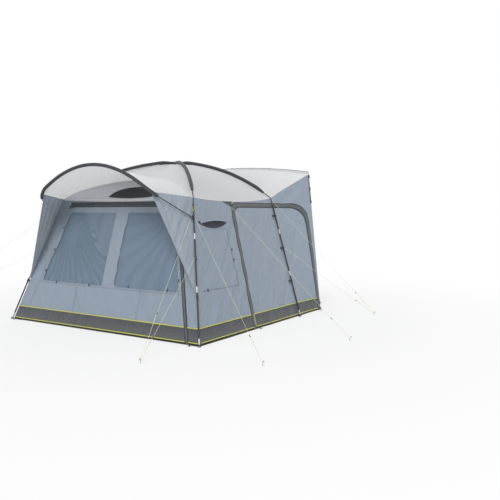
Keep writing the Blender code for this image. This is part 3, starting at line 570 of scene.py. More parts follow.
# Flat sizes of the sheets, and the least share of one that stays after cutting
flats = {"roofSide": (1.94, 1.34), "roofFront": (2.60, 0.72), "tunnel": (3.00, 1.60),
         "gable": (2.50, 0.66), "gableNet": (0.86, 0.26), "canopy": (3.00, 1.14),
         "wing": (0.58, 1.27), "surround": (0.30, 5.40), "panel": (2.90, 1.52),
         "panelSkirt": (3.03, 0.20), "film": (1.14, 1.02), "curtain": (1.30, 1.06),
         "sideCloth": (3.19, 2.10), "sideSkirt": (1.30, 0.195), "blindCloth": (0.80, 0.77),
         "doorCloth": (1.90, 1.52), "doorSkirt": (1.89, 0.20), "flap": (0.58, 0.08)}
leastShare = 0.31


def showSheet(name, mesh, body, skin, node, kind, area=None, bend=None):
    made = show(name, mesh, body, skin, node, True, bend)
    width, length = flats[kind]
    if area is None:
        cloth = min(clothArea(mesh), width * length)
        area = round(max(cloth, leastShare * width * length), 4)


def grown(corners, distance):
    made = []
    count = len(corners)
    for i in range(count):
        before, here, after = (Vector(corners[j % count]) for j in (i - 1, i, i + 1))
        first, second = (here - before).normalized(), (after - here).normalized()
        firstOut = Vector((first.y, -first.x))
        out = (firstOut + Vector((second.y, -second.x))).normalized()
        made.append(here + out * distance / out.dot(firstOut))
    return made


def rounded(corners, backs, count=8):
    points = []
    total = len(corners)
    for i in range(total):
        before, here, after = (Vector(corners[j % total]) for j in (i - 1, i, i + 1))
        if backs[i] <= 0.0:
            points.append(here)
            continue
        start = here + (before - here).normalized() * backs[i]
        end = here + (after - here).normalized() * backs[i]
        points += [lerp(lerp(start, here, t), lerp(here, end, t), t) for t in steps(count)]
    return points


# Lines and surfaces of the awning, as in the frame

def frontCorner(z):
    return at(cabin["halfWidth"] - lean * z, setback * z, z)


def rearCorner(z):
    return at(cabin["halfWidth"] - cabin["inset"] / cabin["eaveRear"] * z,
              cabin["depth"] - cabin["rearSetback"] * z / cabin["eaveRear"], z)


def vanEdge(z):
    drop = (cabin["halfWidth"] - cabin["railHalf"]) * z / cabin["railEnd"]
    return at(cabin["halfWidth"] - drop, railY, z)


def ridge(x, front):
    endZ = cabin["eaveFront"] if front else cabin["eaveRear"]
    reach = abs(x) / cornerX
    along = (rearCornerY - cabin["frontSetback"]) / 2.0
    bow = cabin["peakY"] - (rearCornerY + cabin["frontSetback"]) / 2.0
    y = cabin["peakY"] + (-along if front else along) * reach - bow * reach**2
    return at(x, y, cabin["peakZ"] - (cabin["peakZ"] - endZ) * reach**2)


def roofBreak(share):
    reach = share**2

    def through(mid, quarter, end):
        curve = ((end - mid) - (quarter - mid) / 0.25) / 0.75
        return mid + (end - mid - curve) * reach + curve * reach**2

    return at(share * cornerX, through(*cabin["breakY"], cabin["frontSetback"]),
              through(*cabin["breakZ"], cabin["eaveFront"]))


def frontEave(share):
    z = cabin["eaveFront"] - cabin["frontSag"] * (1.0 - share**2)
    return at(share * cornerX, setback * z, z)


def rail(share):
    z = cabin["railMid"] - (cabin["railMid"] - cabin["railEnd"]) * share**2
    return at(share * cabin["railHalf"], railY, z)


def sideEaveZ(t):
    return lerp(cabin["eaveFront"], cabin["eaveRear"], t) - cabin["eaveSag"] * 4.0 * t * (1.0 - t)


def sideRoof(share, t):
    dip = cabin["eaveSag"] * share**2 * 4.0 * t * (1.0 - t)
    x = share * cornerX
    return lerp(ridge(x, True), ridge(x, False), t) + Vector((lean * dip, 0.0, -dip))


def frontRoof(share, t):
    return lerp(roofBreak(share), ridge(share * cornerX, True), t)


def tunnelRoof(share, t):
    z = lerp(cabin["eaveRear"], cabin["railEnd"], t)
    draw = lerp(rearCorner(z), vanEdge(z), t) - lerp(ridge(cornerX, False), rail(1.0), t)
    sag = 0.020 * 4.0 * t * (1.0 - t) * (1.0 - share**2)
    shift = Vector((draw.x * share * abs(share), draw.y * share**2, draw.z * share**2 - sag))
    return lerp(ridge(share * cornerX, False), rail(share), t) + shift


def gableSurface(share, t):
    dip = cabin["gableHollow"] * t * (1.0 - t) ** 2 * (1.0 - share**2)
    return lerp(frontEave(share), roofBreak(share), t) - up(dip)


def legLine(z, front):
    corner = frontCorner(z) if front else rearCorner(z)
    out = Vector((1.0, -1.0, 0.0)).normalized() if front else Vector((1.0, 0.0, 0.0))
    return corner + out * cabin["legOff"]


hub = {"height": 1.498, "off": 0.034, "reach": 0.0035 + seamGap + 0.006}
hoop = {"y": -0.045, "top": 2.165, "archHalf": 0.900, "knee": (1.050, -0.012, 1.772), "bend": 0.150}


def hubPin():
    return legLine(hub["height"], True) - Vector((0.0, hub["off"], 0.0))


# Guy lines

guys = {"radius": 0.0014, "sag": 0.010, "clip": 0.0145, "ties": (0.030, 0.040),
        "upper": 1.610, "lower": 1.014, "rear": 1.020, "eave": (1.627, 0.435),
        "leftEnds": {"upper": (-2.233, 0.047, 0.919), "lower": (-2.169, -0.002, 0.655)}}
knot = {"cord": 0.0016, "back": 0.010, "radius": 0.004, "rise": 0.002, "drop": 0.006, "turns": 1.8}
runner = {"size": (0.010, 0.006, 0.032), "start": 0.016, "back": 0.004, "high": 0.012,
          "lift": 0.0035, "reach": 0.30, "tail": 0.0013}
pegs = {"front": ((1.655, -0.930), (0.25, -1.0)), "hub": ((2.763, -0.330), (1.0, -0.5)),
        "eave": ((3.030, 1.250), (1.0, 0.0)), "rear": ((2.620, 3.120), (1.0, 0.5))}


def beside(centre, axis, way, radius):
    axis = axis.normalized()
    out = Vector((*way, 0.0))
    out = (out - axis * out.dot(axis)).normalized()
    return centre + out * (radius + guys["radius"] + seamGap)


def guyPoint(start, end, t):
    return lerp(start, end, t) - up(guys["sag"] * 4.0 * t * (1.0 - t))


def guyLine(name, start, end, runnerAt):
    points = [guyPoint(start, end, t) for t in steps(20)]
    path = bpy.data.curves.new(name, "CURVE")
    path.dimensions = "3D"
    path.bevel_depth = guys["radius"]
    path.bevel_resolution = 2
    path.use_fill_caps = True
    spline = path.splines.new("POLY")
    spline.points.add(len(points) - 1)
    for slot, point in zip(spline.points, points):
        slot.co = (*point, 1.0)
    made = bpy.data.objects.new("cord_" + name, path)
    scene.collection.objects.link(made)
    path.materials.append(skins["guy"])
    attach(made, "awning")
    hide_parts(name)
    way = (end - start).normalized()
    coil = [end - way * knot["back"] + Vector((knot["radius"] * math.cos(a),
                                               knot["radius"] * math.sin(a),
                                               knot["rise"] * a - knot["drop"]))
            for a in steps(24, 0.0, 2.0 * math.pi * knot["turns"])]
    show("knot_" + name, tubeMesh(coil, knot["cord"], 6), "awning", "guy", name)
    if runnerAt is not None:
        middle = guyPoint(start, end, runnerAt)
        block = boxMesh(runner["size"], middle, way, 0.3)
        back = middle + way * runner["back"] + up(runner["high"])
        line = [lerp(middle - way * runner["start"], back, t) for t in steps(3)]
        line += [lerp(back, middle + way * runner["reach"], t) + up(runner["lift"] * (1.0 - t))
                 for t in steps(6)[1:]]
        tail = tubeMesh(line, runner["tail"], 6)
        show("runner_" + name, block, "awning", "plastic", name)
        show("tail_" + name, tail, "awning", "guy", name)


def eaveTie():
    height, share = guys["eave"]
    return lerp(frontCorner(height), rearCorner(height), share)


def guyLines():
    frontWay = legLine(1.0, True) - legLine(0.0, True)
    rearWay = legLine(1.0, False) - legLine(0.0, False)
    upper = beside(legLine(guys["upper"], True), frontWay, (1.0, 0.0), guys["clip"])
    lower = beside(legLine(guys["lower"], True), frontWay, (0.3, -1.0), guys["clip"])
    low, high = guys["ties"]
    arm = armPoints(False)
    ways = {
        "front_upper": (upper, "front", high, 0.73, None),
        "front_lower": (lower, "front", low, 0.80, "guy_peg_front"),
        "hub": (beside(legLine(hub["height"], True), frontWay, (1.0, -0.3), guys["clip"]), "hub",
                low, 0.84, "guy_peg_hub"),
        "eave": (eaveTie() + sideOut(1.0) * (guys["radius"] + 2.0 * seamGap), "eave", low, 0.86,
                 "guy_peg_eave"),
        "rear_upper": (beside(arm[2], arm[3] - arm[1], (1.0, 0.3), poles["radius"]), "rear", high,
                       0.82, None),
        "rear_lower": (beside(legLine(guys["rear"], False), rearWay, (1.0, 0.2), guys["clip"]), "rear",
                       low, 0.80, "guy_peg_rear"),
    }
    for name, (start, peg, height, runnerAt, node) in ways.items():
        (x, y), leaning = pegs[peg]
        way = Vector((*leaning, 0.0)).normalized()
        shaft = at(x, y, 0.0) + way * 0.25 * height + up(height)
        end = shaft - way * (0.0030 + 0.8 * guys["radius"] + seamGap)
        guyLine("guy_" + name, start, end, runnerAt)
    for name, start in (("upper", upper), ("lower", lower)):
        guyLine("guy_left_" + name, onSide(start, -1.0), at(*guys["leftEnds"][name]), None)


# Poles and their sleeves

poles = {"radius": 0.0063, "sleeve": 0.0185, "cover": 0.0250, "hoopCover": 0.0228, "legTop": 1.660,
         "narrow": 0.0095, "crossing": 0.0043, "tie": 0.0042, "sleeveSpan": (0.925, 0.012)}

tieRing = {"height": 0.028, "wide": 0.024, "deep": 0.010, "tall": 0.020, "drop": 0.002, "web": 0.16}


def upward(a, b):
    normal = a.cross(b).normalized()
    return normal if normal.z > 0.0 else -normal


def poleStation(share, front, radius=poles["sleeve"]):
    x = share * cornerX
    here = ridge(x, front)
    if share == 0.0:
        return here + up(radius + seamGap)
    along = ridge(x + 0.0001, front) - ridge(x - 0.0001, front)
    side = sideRoof(share, 1.0 / 6.0 if front else 5.0 / 6.0)
    beyond = frontRoof(share, 0.5) if front else tunnelRoof(share, 0.25)
    one, other = upward(along, side - here), upward(along, beyond - here)
    return here + (one + other) * (radius + seamGap) / (1.0 + one.dot(other))


def armPoints(front, count=8):
    top = legLine(poles["legTop"], front)
    axis = (top - legLine(0.0, front)).normalized()
    arm = [poleStation(share, front) for share in [0.92, *steps(count, 1.0, 0.0)[1:]]]
    way = (arm[1] - arm[0]).normalized()
    near, far = intersect_line_line(top, top + axis, arm[0], arm[0] - way)
    meet = (near + far) / 2.0
    start, end = meet - axis * 0.040, meet + way * 0.060
    bend = [lerp(lerp(start, meet, t), lerp(meet, end, t), t) for t in steps(5)]
    return [top - axis * 0.0347, top, *bend, *arm]


def sleevePiece(name, points, radii, body, seed, narrow=0.0):
    # Sewn sleeve with small gathers, drawn in around the pole at its ends
    def width(t):
        drawn = 0.0025 * (1.0 - ease(min(t, 1.0 - t), 0.0, 0.02))
        drawn += narrow * (1.0 - ease(1.0 - t, 0.03, 0.11))
        return radii[round(t * (len(radii) - 1))] - drawn

    def gathers(i, angle):
        swell = noise.noise(Vector((i * 0.35, math.cos(angle) * 1.3, math.sin(angle) * 1.3 + seed)))
        return 0.0016 * swell - 0.0006

    mesh = tubeMesh(points, width, 16, wave=gathers)
    show("sleeveCloth_" + name, mesh, body, "sleeve", name, True)


def roofSleeves():
    seed = 1.0
    for front, end in ((True, "front"), (False, "rear")):
        for side, sign in sides.items():
            level = "over" if (end == "front") == (side == "left") else "under"
            shares = steps(48, *poles["sleeveSpan"])
            radii = []
            for share in shares:
                full = ease(share, 0.04, 0.16) * ease(shares[0] - share, 0.0, 0.08)
                radii.append(lerp(poles["sleeve"], poles["cover"], full))
            stations = [poleStation(s, front, r) for s, r in zip(shares, radii)]
            if level == "over":
                stations = [p + up(poles["crossing"] * 3.0 * ease(0.25 - s, 0.0, 0.24))
                            for p, s in zip(stations, shares)]
            sleevePiece("sleeve_%s_%s" % (end, side), [onSide(p, sign) for p in stations],
                        radii, "awning", seed, poles["narrow"])
            seed += 3.0
    # Webbing bow that ties the poles together where they cross
    top = ridge(0.0, True) + up(tieRing["height"])
    ring = [top + Vector((tieRing["wide"] * math.cos(a), tieRing["deep"] * math.sin(a),
                          tieRing["tall"] * math.sin(a) - tieRing["drop"])) for a in roundTurn(20)]
    parts = [tubeMesh(ring, poles["tie"], 8, closed=True)]
    for front in (True, False):
        for sign in sides.values():
            web = [(ridge(s * cornerX, front), poleStation(s, front))
                   for s in steps(8, 0.0, tieRing["web"])]
            parts.append(lofted([[onSide(low + up(0.001), sign), onSide(high, sign)]
                                 for low, high in web]))
    show("crossingTie", joinMeshes(parts), "awning", "sleeve", "sleeve_front_right")


def hoopLine(count):
    knuckle = hubPin() - Vector((hub["reach"], 0.0, 0.0))
    fall = (hoop["top"] - hoop["knee"][2]) / hoop["knee"][0]**2
    points = [at(x, hoop["y"], hoop["top"] - fall * x**2) for x in steps(count, 0.0, hoop["archHalf"])]
    start, knee = points[-1], at(*hoop["knee"])
    end = knee + (knuckle - knee).normalized() * hoop["bend"]
    return points + [lerp(lerp(start, knee, t), lerp(knee, end, t), t) for t in steps(5, 0.2, 1.0)]


def hoopSleeve():
    half = hoopLine(18)[:-2]
    line = [onSide(p, -1.0) for p in half[:0:-1]] + half
    sleevePiece("hoop_sleeve", line, [poles["hoopCover"]] * len(line), "porch", 21.0)


guyLines()
roofSleeves()
hoopSleeve()
print("cords and sleeves made")


# Folds of the cloth, as shifts along each wall's normal

def streak(a, b, turn, across, along, seed):
    # Noise drawn out in one direction: folds run along the turned axis
    cosine, sine = math.cos(turn), math.sin(turn)
    u, v = a * cosine + b * sine, -a * sine + b * cosine
    return noise.noise(Vector((u * across, v * along, seed)))


# Turn, spread across, spread along, depth and seed of each kind of fold
folds = {
    "front": {"hang": (0.10, 7.0, 0.8, 0.0110, 3.1), "pull": (0.75, 8.0, 1.1, 0.0100, 7.7),
              "hem": (0.0, 4.0, 0.5, 0.010, 12.3), "crumple": (0.8, 12.0, 3.0, 0.006, 19.0)},
    "side": {"hang": (0.12, 6.0, 0.7, 0.0100, 9.5), "pull": (-0.62, 9.0, 1.0, 0.0115, 5.5),
             "tunnel": (-0.95, 10.0, 1.0, 0.022, 4.0), "hem": (0.0, 4.5, 0.5, 0.008, 15.0),
             "crumple": (0.8, 12.0, 3.0, 0.006, 23.0)},
}


def fold(wall, kind, a, z, shift=0.0, hand=1.0):
    turn, across, along, depth, seed = folds[wall][kind]
    return streak(a, z, turn * hand, across, along, seed + shift) * depth


def hemFolds(wall, a, z, shift=0.0):
    low = fold(wall, "hem", a, z, shift) * ease(0.30 - z, 0.0, 0.30)
    return low + fold(wall, "crumple", a, z, shift) * ease(0.22 - z, 0.0, 0.10)


def frontFolds(p):
    x, z = p.x, p.z
    inside = cabin["halfWidth"] - lean * z - abs(x)
    edge = ease(inside, 0.01, 0.30) * ease(1.735 - z, 0.0, 0.25)
    swell = fold("front", "hang", x, z) + fold("front", "pull", x, z, 0.0, 1.0 if x > 0 else -1.0)
    depth = swell * edge + hemFolds("front", x, z) * ease(inside, 0.0, 0.30)
    return Vector((0.0, -1.0, setback * 0.9)) * depth


def sideFolds(sign):
    def shift(p):
        y, z = p.y + midY, p.z
        corner = abs(y - cabin["depth"] + 0.02 * z)
        edge = ease(y - setback * z, 0.02, 0.35) * ease(corner, 0.0, 0.30) * ease(railY - y, 0.0, 0.12)
        if y > cabin["depth"]:
            top = ease(2.15 - z, 0.0, 0.4)
            pull = fold("side", "tunnel", y, z, sign) * ease(z, 1.2, 1.8)
        else:
            top = ease(1.70 - z, 0.0, 0.22)
            pull = fold("side", "pull", y, z, sign)
        depth = (pull + fold("side", "hang", y, z, sign)) * edge * top
        depth += hemFolds("side", y, z, sign) * edge
        return Vector((sign, 0.0, lean)) * depth

    return shift


# Roof, gable and canopy

roofs = {"stations": 40, "across": 16, "sag": 0.010, "half": 0.985,
         "rests": ("roof_pole_over", "roof_pole_under")}


def sheetRows(surface, shares, ts, start=0.002, end=0.002):
    rows = []
    for share in shares:
        row = [surface(share, t) for t in ts]
        row[0] = row[0] + (row[1] - row[0]).normalized() * start
        row[-1] = row[-1] + (row[-2] - row[-1]).normalized() * end
        rows.append(row)
    return rows


def roofFolds(depth, seed):
    def shift(p):
        swell = streak(p.x, p.y, 0.5, 3.2, 1.2, seed) * depth
        fine = streak(p.x, p.y, -0.6, 10.0, 1.0, seed + 4.0) * depth * 0.35 * ease(abs(p.x), 0.5, 1.2)
        return up(swell + fine)
    return shift


def roofPieces():
    across = steps(roofs["across"])
    for side, sign in sides.items():
        rows = sheetRows(sideRoof, steps(roofs["stations"], 1.0, 0.008), across)
        mesh = moved(lofted(rowsOnSide(rows, sign)), roofFolds(0.003, 2.0 * sign))
        showSheet("roofCloth_" + side, mesh, "awning", "roof", "roof_" + side, "roofSide")

    def sagging(share, t):
        return frontRoof(share, t) - up(roofs["sag"] * 4 * t * (1 - t) * (1 - share**2))

    columns = sheetRows(sagging, steps(2 * roofs["stations"], -roofs["half"], roofs["half"]), across)
    mesh = moved(lofted(list(zip(*columns))), roofFolds(0.002, 5.0))
    showSheet("roofCloth_front", mesh, "awning", "roof", "roof_front", "roofFront")
    columns = sheetRows(tunnelRoof, steps(2 * roofs["stations"], -1.0, 1.0), across)
    mesh = moved(lofted(list(zip(*columns))), roofFolds(0.003, 8.0))
    showSheet("roofCloth_tunnel", mesh, "awning", "roof", "tunnel_roof", "tunnel")


vent = {"half": 0.430, "foot": 0.680, "tall": 0.210}


def gablePieces():
    arc = [(vent["half"] * math.cos(math.pi * t),
            vent["foot"] - midY + vent["tall"] * math.sin(math.pi * t)) for t in steps(32)]

    def uprightPrism(outline):
        mesh = prism("Y", outline)
        mesh.transform(Matrix(((1, 0, 0, 0), (0, 0, 1, 0), (0, 1, 0, 0), (0, 0, 0, 1))))
        mesh.flip_normals()
        return mesh

    shares = steps(2 * roofs["stations"], -roofs["half"], roofs["half"])
    rows = list(zip(*sheetRows(gableSurface, shares, steps(20), 0.0, 0.0024)))
    hole = uprightPrism(grown(arc, 2.0 * seamGap))
    for name, skin, node, kind, shaping in (
            ("gableCloth", "gable", "gable", "gable", {"cuts": [hole]}),
            ("gableNet", "net", "gable_vent", "gableNet", {"keep": uprightPrism(arc)})):
        mesh = moved(lofted(rows, **shaping), roofFolds(0.002, 11.0))
        showSheet(name, mesh, "awning", skin, node, kind)
    hem = [frontEave(s) + Vector((0.0, -0.003, -0.006)) for s in steps(40, -0.97, 0.97)]
    flat = [[p + Vector((0, 0.001 - 0.004 * math.sin(2.2 * k), 0.020 - 0.038 * k)) for p in hem]
            for k in steps(5, 1.0, 0.0)]
    show("eaveTape", lofted(flat, 0.0012), "awning", "tape", "gable")


porch = {"rise": 0.47, "wingFoot": 0.565, "lift": Vector((0.0, -0.0012, 0.0022)), "sag": 0.016,
         "fan": 0.006, "drop": 0.0027, "fold": {"right": 0.0022, "left": 0.0085}, "swell": 0.010,
          "hem": 0.0028}


def canopyEdge(half):
    foot, eave = frontCorner(0.0), frontCorner(cabin["eaveFront"])
    out = (eave - foot).cross(at(*hoop["knee"]) - foot).normalized()
    edge = []
    last = len(half) - 2
    for i in range(last + 1):
        share = i / last
        before = half[i - 1] if i else onSide(half[1], -1.0)
        along = (half[i + 1] - before).normalized()
        back = roofBreak(share) - half[i]
        back = (back - along * back.dot(along)).normalized()
        turn = max(0.0, 4.0 * share - 3.0)
        back = (back - out * 1.2 * turn).normalized()
        edge.append(half[i] + back * (poles["hoopCover"] + seamGap + 0.003 * turn))
    return edge


def porchCloth():
    edge = canopyEdge(hoopLine(20)[:24])
    whole = [onSide(p, -1.0) for p in edge[:0:-1]] + edge
    total = len(edge) - 1
    columns = []
    for front, share in zip(whole, steps(2 * total, -1.0, 1.0)):
        back = roofBreak(share) + porch["lift"]
        column = []
        for t in steps(22):
            sag = porch["sag"] * 4.0 * t * (1.0 - t) * (1.0 - share**4)
            fan = porch["fan"] * math.sin(9.0 * t * math.pi) * t * (1.0 - t) * 4.0
            column.append(lerp(front, back, t) + up(-sag + fan * ease(abs(share), 0.55, 0.95)))
        columns.append(column)
    # Lines from the eaves' corners for the canopy and wings, which are baked in place and ride no body
    root, tip = roofBreak(1.0), edge[-1]
    level = (root, Vector((root.x, tip.y, root.z)))
    way = Vector((0.0, -math.cos(porch["rise"]), math.sin(porch["rise"])))
    rising = (root, root + way * (tip - root).dot(way))
    mesh = moved(lofted(list(zip(*columns))), roofFolds(0.004, 14.0))
    showSheet("canopyCloth", mesh, "awning", "roof", "canopy", "canopy",
              bend=level)
    foot, eave = frontCorner(porch["wingFoot"]), frontCorner(cabin["eaveFront"] - porch["drop"])
    corner = edge[-1] - up(porch["drop"])
    for side, sign in sides.items():
        rows = []
        for q in steps(56, 0.03, 1.0):
            legEdge = lerp(foot, eave, q)
            free = lerp(foot, corner, q)
            row = []
            for t in steps(20):
                ruffle = math.sin(t * 23.0 + 2.0 * noise.noise(Vector((q * 2.0, sign, 0.0))))
                swell = noise.noise(Vector((t * 2.0, q * 2.5, 3.0 * sign)))
                depth = porch["fold"][side] * ruffle * ease(t, 0.0, 0.2) * ease(1.0 - t, 0.0, 0.3)
                depth *= ease(q, 0.1, 0.5)
                depth += porch["swell"] * swell * ease(1.0 - t, 0.0, 0.2) * ease(t, 0.0, 0.1)
                row.append(lerp(free, legEdge, t) + Vector((1.0, 0.25, 0.0)) * depth)
            row[-1] = row[-1] + (row[-2] - row[-1]).normalized() * 0.0012
            rows.append(row)
        rows = rowsOnSide(rows, sign)
        showSheet("wingCloth_" + side, lofted(rows), "awning", "wing", "wing_" + side, "wing",
                  bend=rising)
        free = [row[0] if sign > 0.0 else row[-1] for row in rows]
        show("wingHem_" + side, tubeMesh(free, porch["hem"], 8), "awning", "wing", "wing_" + side,
             bend=rising)


roofPieces()
gablePieces()
porchCloth()
print("roof, gable and canopy made")


# Front wall and its fold-down panel

frontWall = {
    "foot": 1.514, "top": 0.990, "topZ": 1.650, "corner": 0.080, "sill": 0.580, "windowTop": 1.550,
    "windowFoot": 1.260, "windowTopX": 0.957, "post": 0.115, "postX": 0.050, "frameCorner": 0.030,
    "surroundArea": 0.86, "curtainArea": 1.37, "margin": 0.018, "hollow": 0.042, "pleat": 0.030,
}
frontWall["slope"] = (frontWall["foot"] - frontWall["top"]) / frontWall["topZ"]

# Name, skin, reach inwards and outwards from the seam, and lift of each band of a zip
zipBands = {
    "front": (("frontZip", "zip", 0.024, 0.030, 0.0019),
              ("frontZipCover", "cover", 0.009, 0.015, 0.0042)),
    "side": (("doorZip_", "zip", 0.036, 0.037, 0.0019),
             ("zipCover_", "cover", 0.020, 0.024, 0.0042)),
}


def panelCorners():
    foot = frontWall["foot"] + frontWall["slope"] * cabin["skirt"]
    return [(-foot, -cabin["skirt"]), (foot, -cabin["skirt"]),
            (frontWall["top"], frontWall["topZ"]), (-frontWall["top"], frontWall["topZ"])]


def windowCorners(sign):
    post = frontWall["postX"] + sign * frontWall["post"]
    corners = [(post, frontWall["sill"]), (sign * frontWall["windowFoot"], frontWall["sill"]),
               (sign * frontWall["windowTopX"], frontWall["windowTop"]), (post, frontWall["windowTop"])]
    return corners if sign > 0.0 else corners[::-1]


def frontRows(low, high, count=72, tall=36):
    rows = []
    for k in steps(tall):
        row = []
        for share in steps(count, -1.0, 1.0):
            top = frontEave(share).z - 0.0022 if high is None else high
            z = lerp(low, top, k)
            half = cabin["halfWidth"] - lean * z - 0.0024
            row.append(at(share * half, setback * z, z))
        rows.append(row)
    return rows


def frontPieces():
    corners, backs = panelCorners(), (0.0, 0.0, frontWall["corner"], frontWall["corner"])
    seam = cabin["skirt"]
    opening = rounded(grown(corners, 2.0 * seamGap), backs)
    panel = rounded(corners, backs)
    frameBacks = (frontWall["frameCorner"],) * 4
    frames = {side: rounded(windowCorners(sign), frameBacks) for side, sign in sides.items()}
    holes = [rounded(grown(windowCorners(sign), 2.0 * seamGap), frameBacks) for sign in sides.values()]
    wallRows = frontRows(seam + seamGap, frontWall["topZ"] + 0.04)

    def cloth(rows, keep=None, cuts=(), **how):
        mesh = lofted(rows, keep=keep and prism("Y", keep), cuts=[prism("Y", c) for c in cuts], **how)
        return moved(mesh, frontFolds)

    showSheet("surroundCloth", cloth(frontRows(seam, None), cuts=[opening]), "awning", "wall",
              "front_surround", "surround", area=frontWall["surroundArea"])
    show("surroundSkirt", cloth(frontRows(0.001, seam - 2.0 * seamGap, 72, 5), cuts=[opening]),
         "awning", "skirt", "front_surround")
    showSheet("panelCloth", cloth(wallRows, panel, holes), "front_panel", "wall", "front_panel",
              "panel")
    showSheet("panelSkirt", cloth(frontRows(0.004, seam - seamGap, 72, 6), panel), "front_panel",
              "skirt", "front_panel_skirt", "panelSkirt")
    for side, sign in sides.items():
        showSheet("windowFilm_" + side, cloth(wallRows, frames[side], thick=0.0010), "front_panel",
                  "film", "front_window_" + side, "film")
        drape = curtainMesh(sign)
        area = round(min(frontWall["curtainArea"], clothArea(drape) * 1.02), 3)
        showSheet("curtainCloth_" + side, drape, "front_panel", "curtain", "front_curtain_" + side,
                  "curtain", area=area)
        border = [at(p.x, setback * p.y, p.y) + Vector((0, -0.0022, 0)) for p in frames[side]]
        line = [p + frontFolds(p) for p in resampled(border + border[:1], 0.03)[:-1]]
        show("windowSeam_" + side, tubeMesh(line, 0.0016, 6, closed=True), "front_panel", "wall",
             "front_panel")
    rows = frontRows(0.004, frontWall["topZ"] + 0.05)
    for name, skin, low, high, lift in zipBands["front"]:
        mesh = cloth(rows, rounded(grown(corners, high), backs),
                     [rounded(grown(corners, -low), backs)], thick=0.0014, depth=-lift)
        show(name, mesh, "front_panel", skin, "front_zip", skin == "zip")
        # On the left the zip lies under cloth of the wall's and the skirt's colours
        mesh.materials.append(skins["wall"])
        mesh.materials.append(skins["skirt"])
        for face in mesh.polygons:
            if face.center.x < -frontWall["top"] * 0.96 and face.center.z < frontWall["topZ"] - 0.03:
                face.material_index = 1 if face.center.z > cabin["skirt"] else 2


def resampled(points, gap):
    line = [points[0]]
    for a, b in zip(points, points[1:]):
        count = max(1, round((b - a).length / gap))
        line += [lerp(a, b, (i + 1) / count) for i in range(count)]
    return line


pleats = {"right": {"corner": (0.98, 1.56), "count": 24.0, "strength": 0.34},
          "left": {"corner": (-0.98, 1.44), "count": 50.0, "strength": 1.0}}
fallen = {"levels": (1.60, 0.98), "start": -0.93, "end": -0.07, "wave": 0.05, "gather": 0.03}


def pleatAt(x, z, sign):
    # Pleats that fan out from the corner where the curtain is tied, from -1 to 1
    tied = pleats["right" if sign > 0 else "left"]
    away = Vector((x, z)) - Vector(tied["corner"])
    turn = math.atan2(away.y, away.x) * tied["count"]
    turn += 2.5 * noise.noise(Vector((x * 2, z * 2, sign)))
    return math.sin(turn) * ease(away.length, 0.05, 0.50) * tied["strength"]


def curtainMesh(sign):
    # Thin curtain behind the film, its pleats fanning out from the corner where it is tied
    outline = grown(windowCorners(sign), frontWall["margin"])
    low, high = frontWall["sill"] - frontWall["margin"], frontWall["windowTop"] + frontWall["margin"]
    upright = ((0, 3), (1, 2)) if sign > 0 else ((3, 0), (2, 1))
    rows = []
    for k in steps(60):
        z = lerp(low, high, k)
        share = (z - low) / (high - low)
        edges = sorted(lerp(outline[i].x, outline[j].x, share) for i, j in upright)
        row = []
        for t in steps(90):
            x = lerp(*edges, t)
            depth = frontWall["hollow"] + frontWall["pleat"] * pleatAt(x, z, sign)
            depth += 0.010 * noise.noise(Vector((x * 3.0, z * 2.0, 5.0 + sign)))
            border = min(ease(s, 0.0, 0.04) for s in (t, 1.0 - t, k, 1.0 - k))
            row.append(at(x, setback * z, z) + Vector((0.0, 1.0, -setback)) * (0.004 + depth * border))
        rows.append(row)
    if sign < 0:
        # The free edge has dropped, and leaves the upper corner beside the post open
        for row in rows:
            for i, p in enumerate(row):
                limit = lerp(*fallen["levels"], ease(p.x, fallen["start"], fallen["end"]))
                limit += fallen["wave"] * math.sin(p.x * 6.0)
                if p.z > limit and p.x > fallen["start"]:
                    above = p.z - limit
                    row[i] = Vector((p.x, p.y - setback * above * (1.0 - fallen["gather"]),
                                     limit + fallen["gather"] * above))
    mesh = lofted(rows, 0.0010)
    # Pleat values kept on the mesh for the curtain's painted shade and painted light
    shades = mesh.attributes.new("pleat", "FLOAT", "POINT")
    for vertex in mesh.vertices:
        shades.data[vertex.index].value = pleatAt(vertex.co.x, vertex.co.z, sign)
    return moved(mesh, frontFolds)


hood = {"height": 1.672, "half": 0.985, "off": 0.007, "deep": 0.010, "tall": 0.022, "ruffle": 0.002,
        "turn": (0.2, 2.9), "waves": 60.0}


def zipHood():
    # Rolled hood over the top of the panel's zip, a real cover painted dark slate as its shadow
    rows = []
    for k in steps(8):
        angle = lerp(*hood["turn"], k)
        out = -hood["off"] - hood["deep"] * math.sin(angle)
        rows.append([at(x, setback * hood["height"], hood["height"])
                     + Vector((0.0, out, hood["tall"] * math.cos(angle)
                               + hood["ruffle"] * math.sin(x * hood["waves"]) * k))
                     for x in steps(80, -hood["half"], hood["half"])])
    show("zipHood", moved(lofted(rows, 0.0012), frontFolds), "awning", "hood", "front_surround")


frontPieces()
zipHood()
print("front wall made")


# Side walls, doors, blinds and flaps

door = {"frontY": 1.236, "frontLean": 0.075, "rearY": 3.130, "rearLean": -0.050, "topZ": 1.655,
        "frontCorner": 0.140, "rearCorner": 0.280}
blind = {"front": 0.100, "rearY": 1.090, "sill": 0.600, "top": 1.340, "corner": 0.030}
flap = {"frontY": 0.570, "rearY": 1.140, "foot": 1.380, "top": 1.470, "belly": 0.030,
        "hemEnds": 0.035, "hemMiddle": 0.058}
vents = {"before": 0.06, "after": 0.02, "top": 0.060, "crown": 0.020, "foot": 0.055, "hollow": 0.085,
         "lift": 0.0022}


def doorCorners(foot, top):
    return [(door["frontY"] + door["frontLean"] * foot - midY, foot),
            (door["rearY"] + door["rearLean"] * foot - midY, foot),
            (door["rearY"] + door["rearLean"] * top - midY, top),
            (door["frontY"] + door["frontLean"] * top - midY, top)]


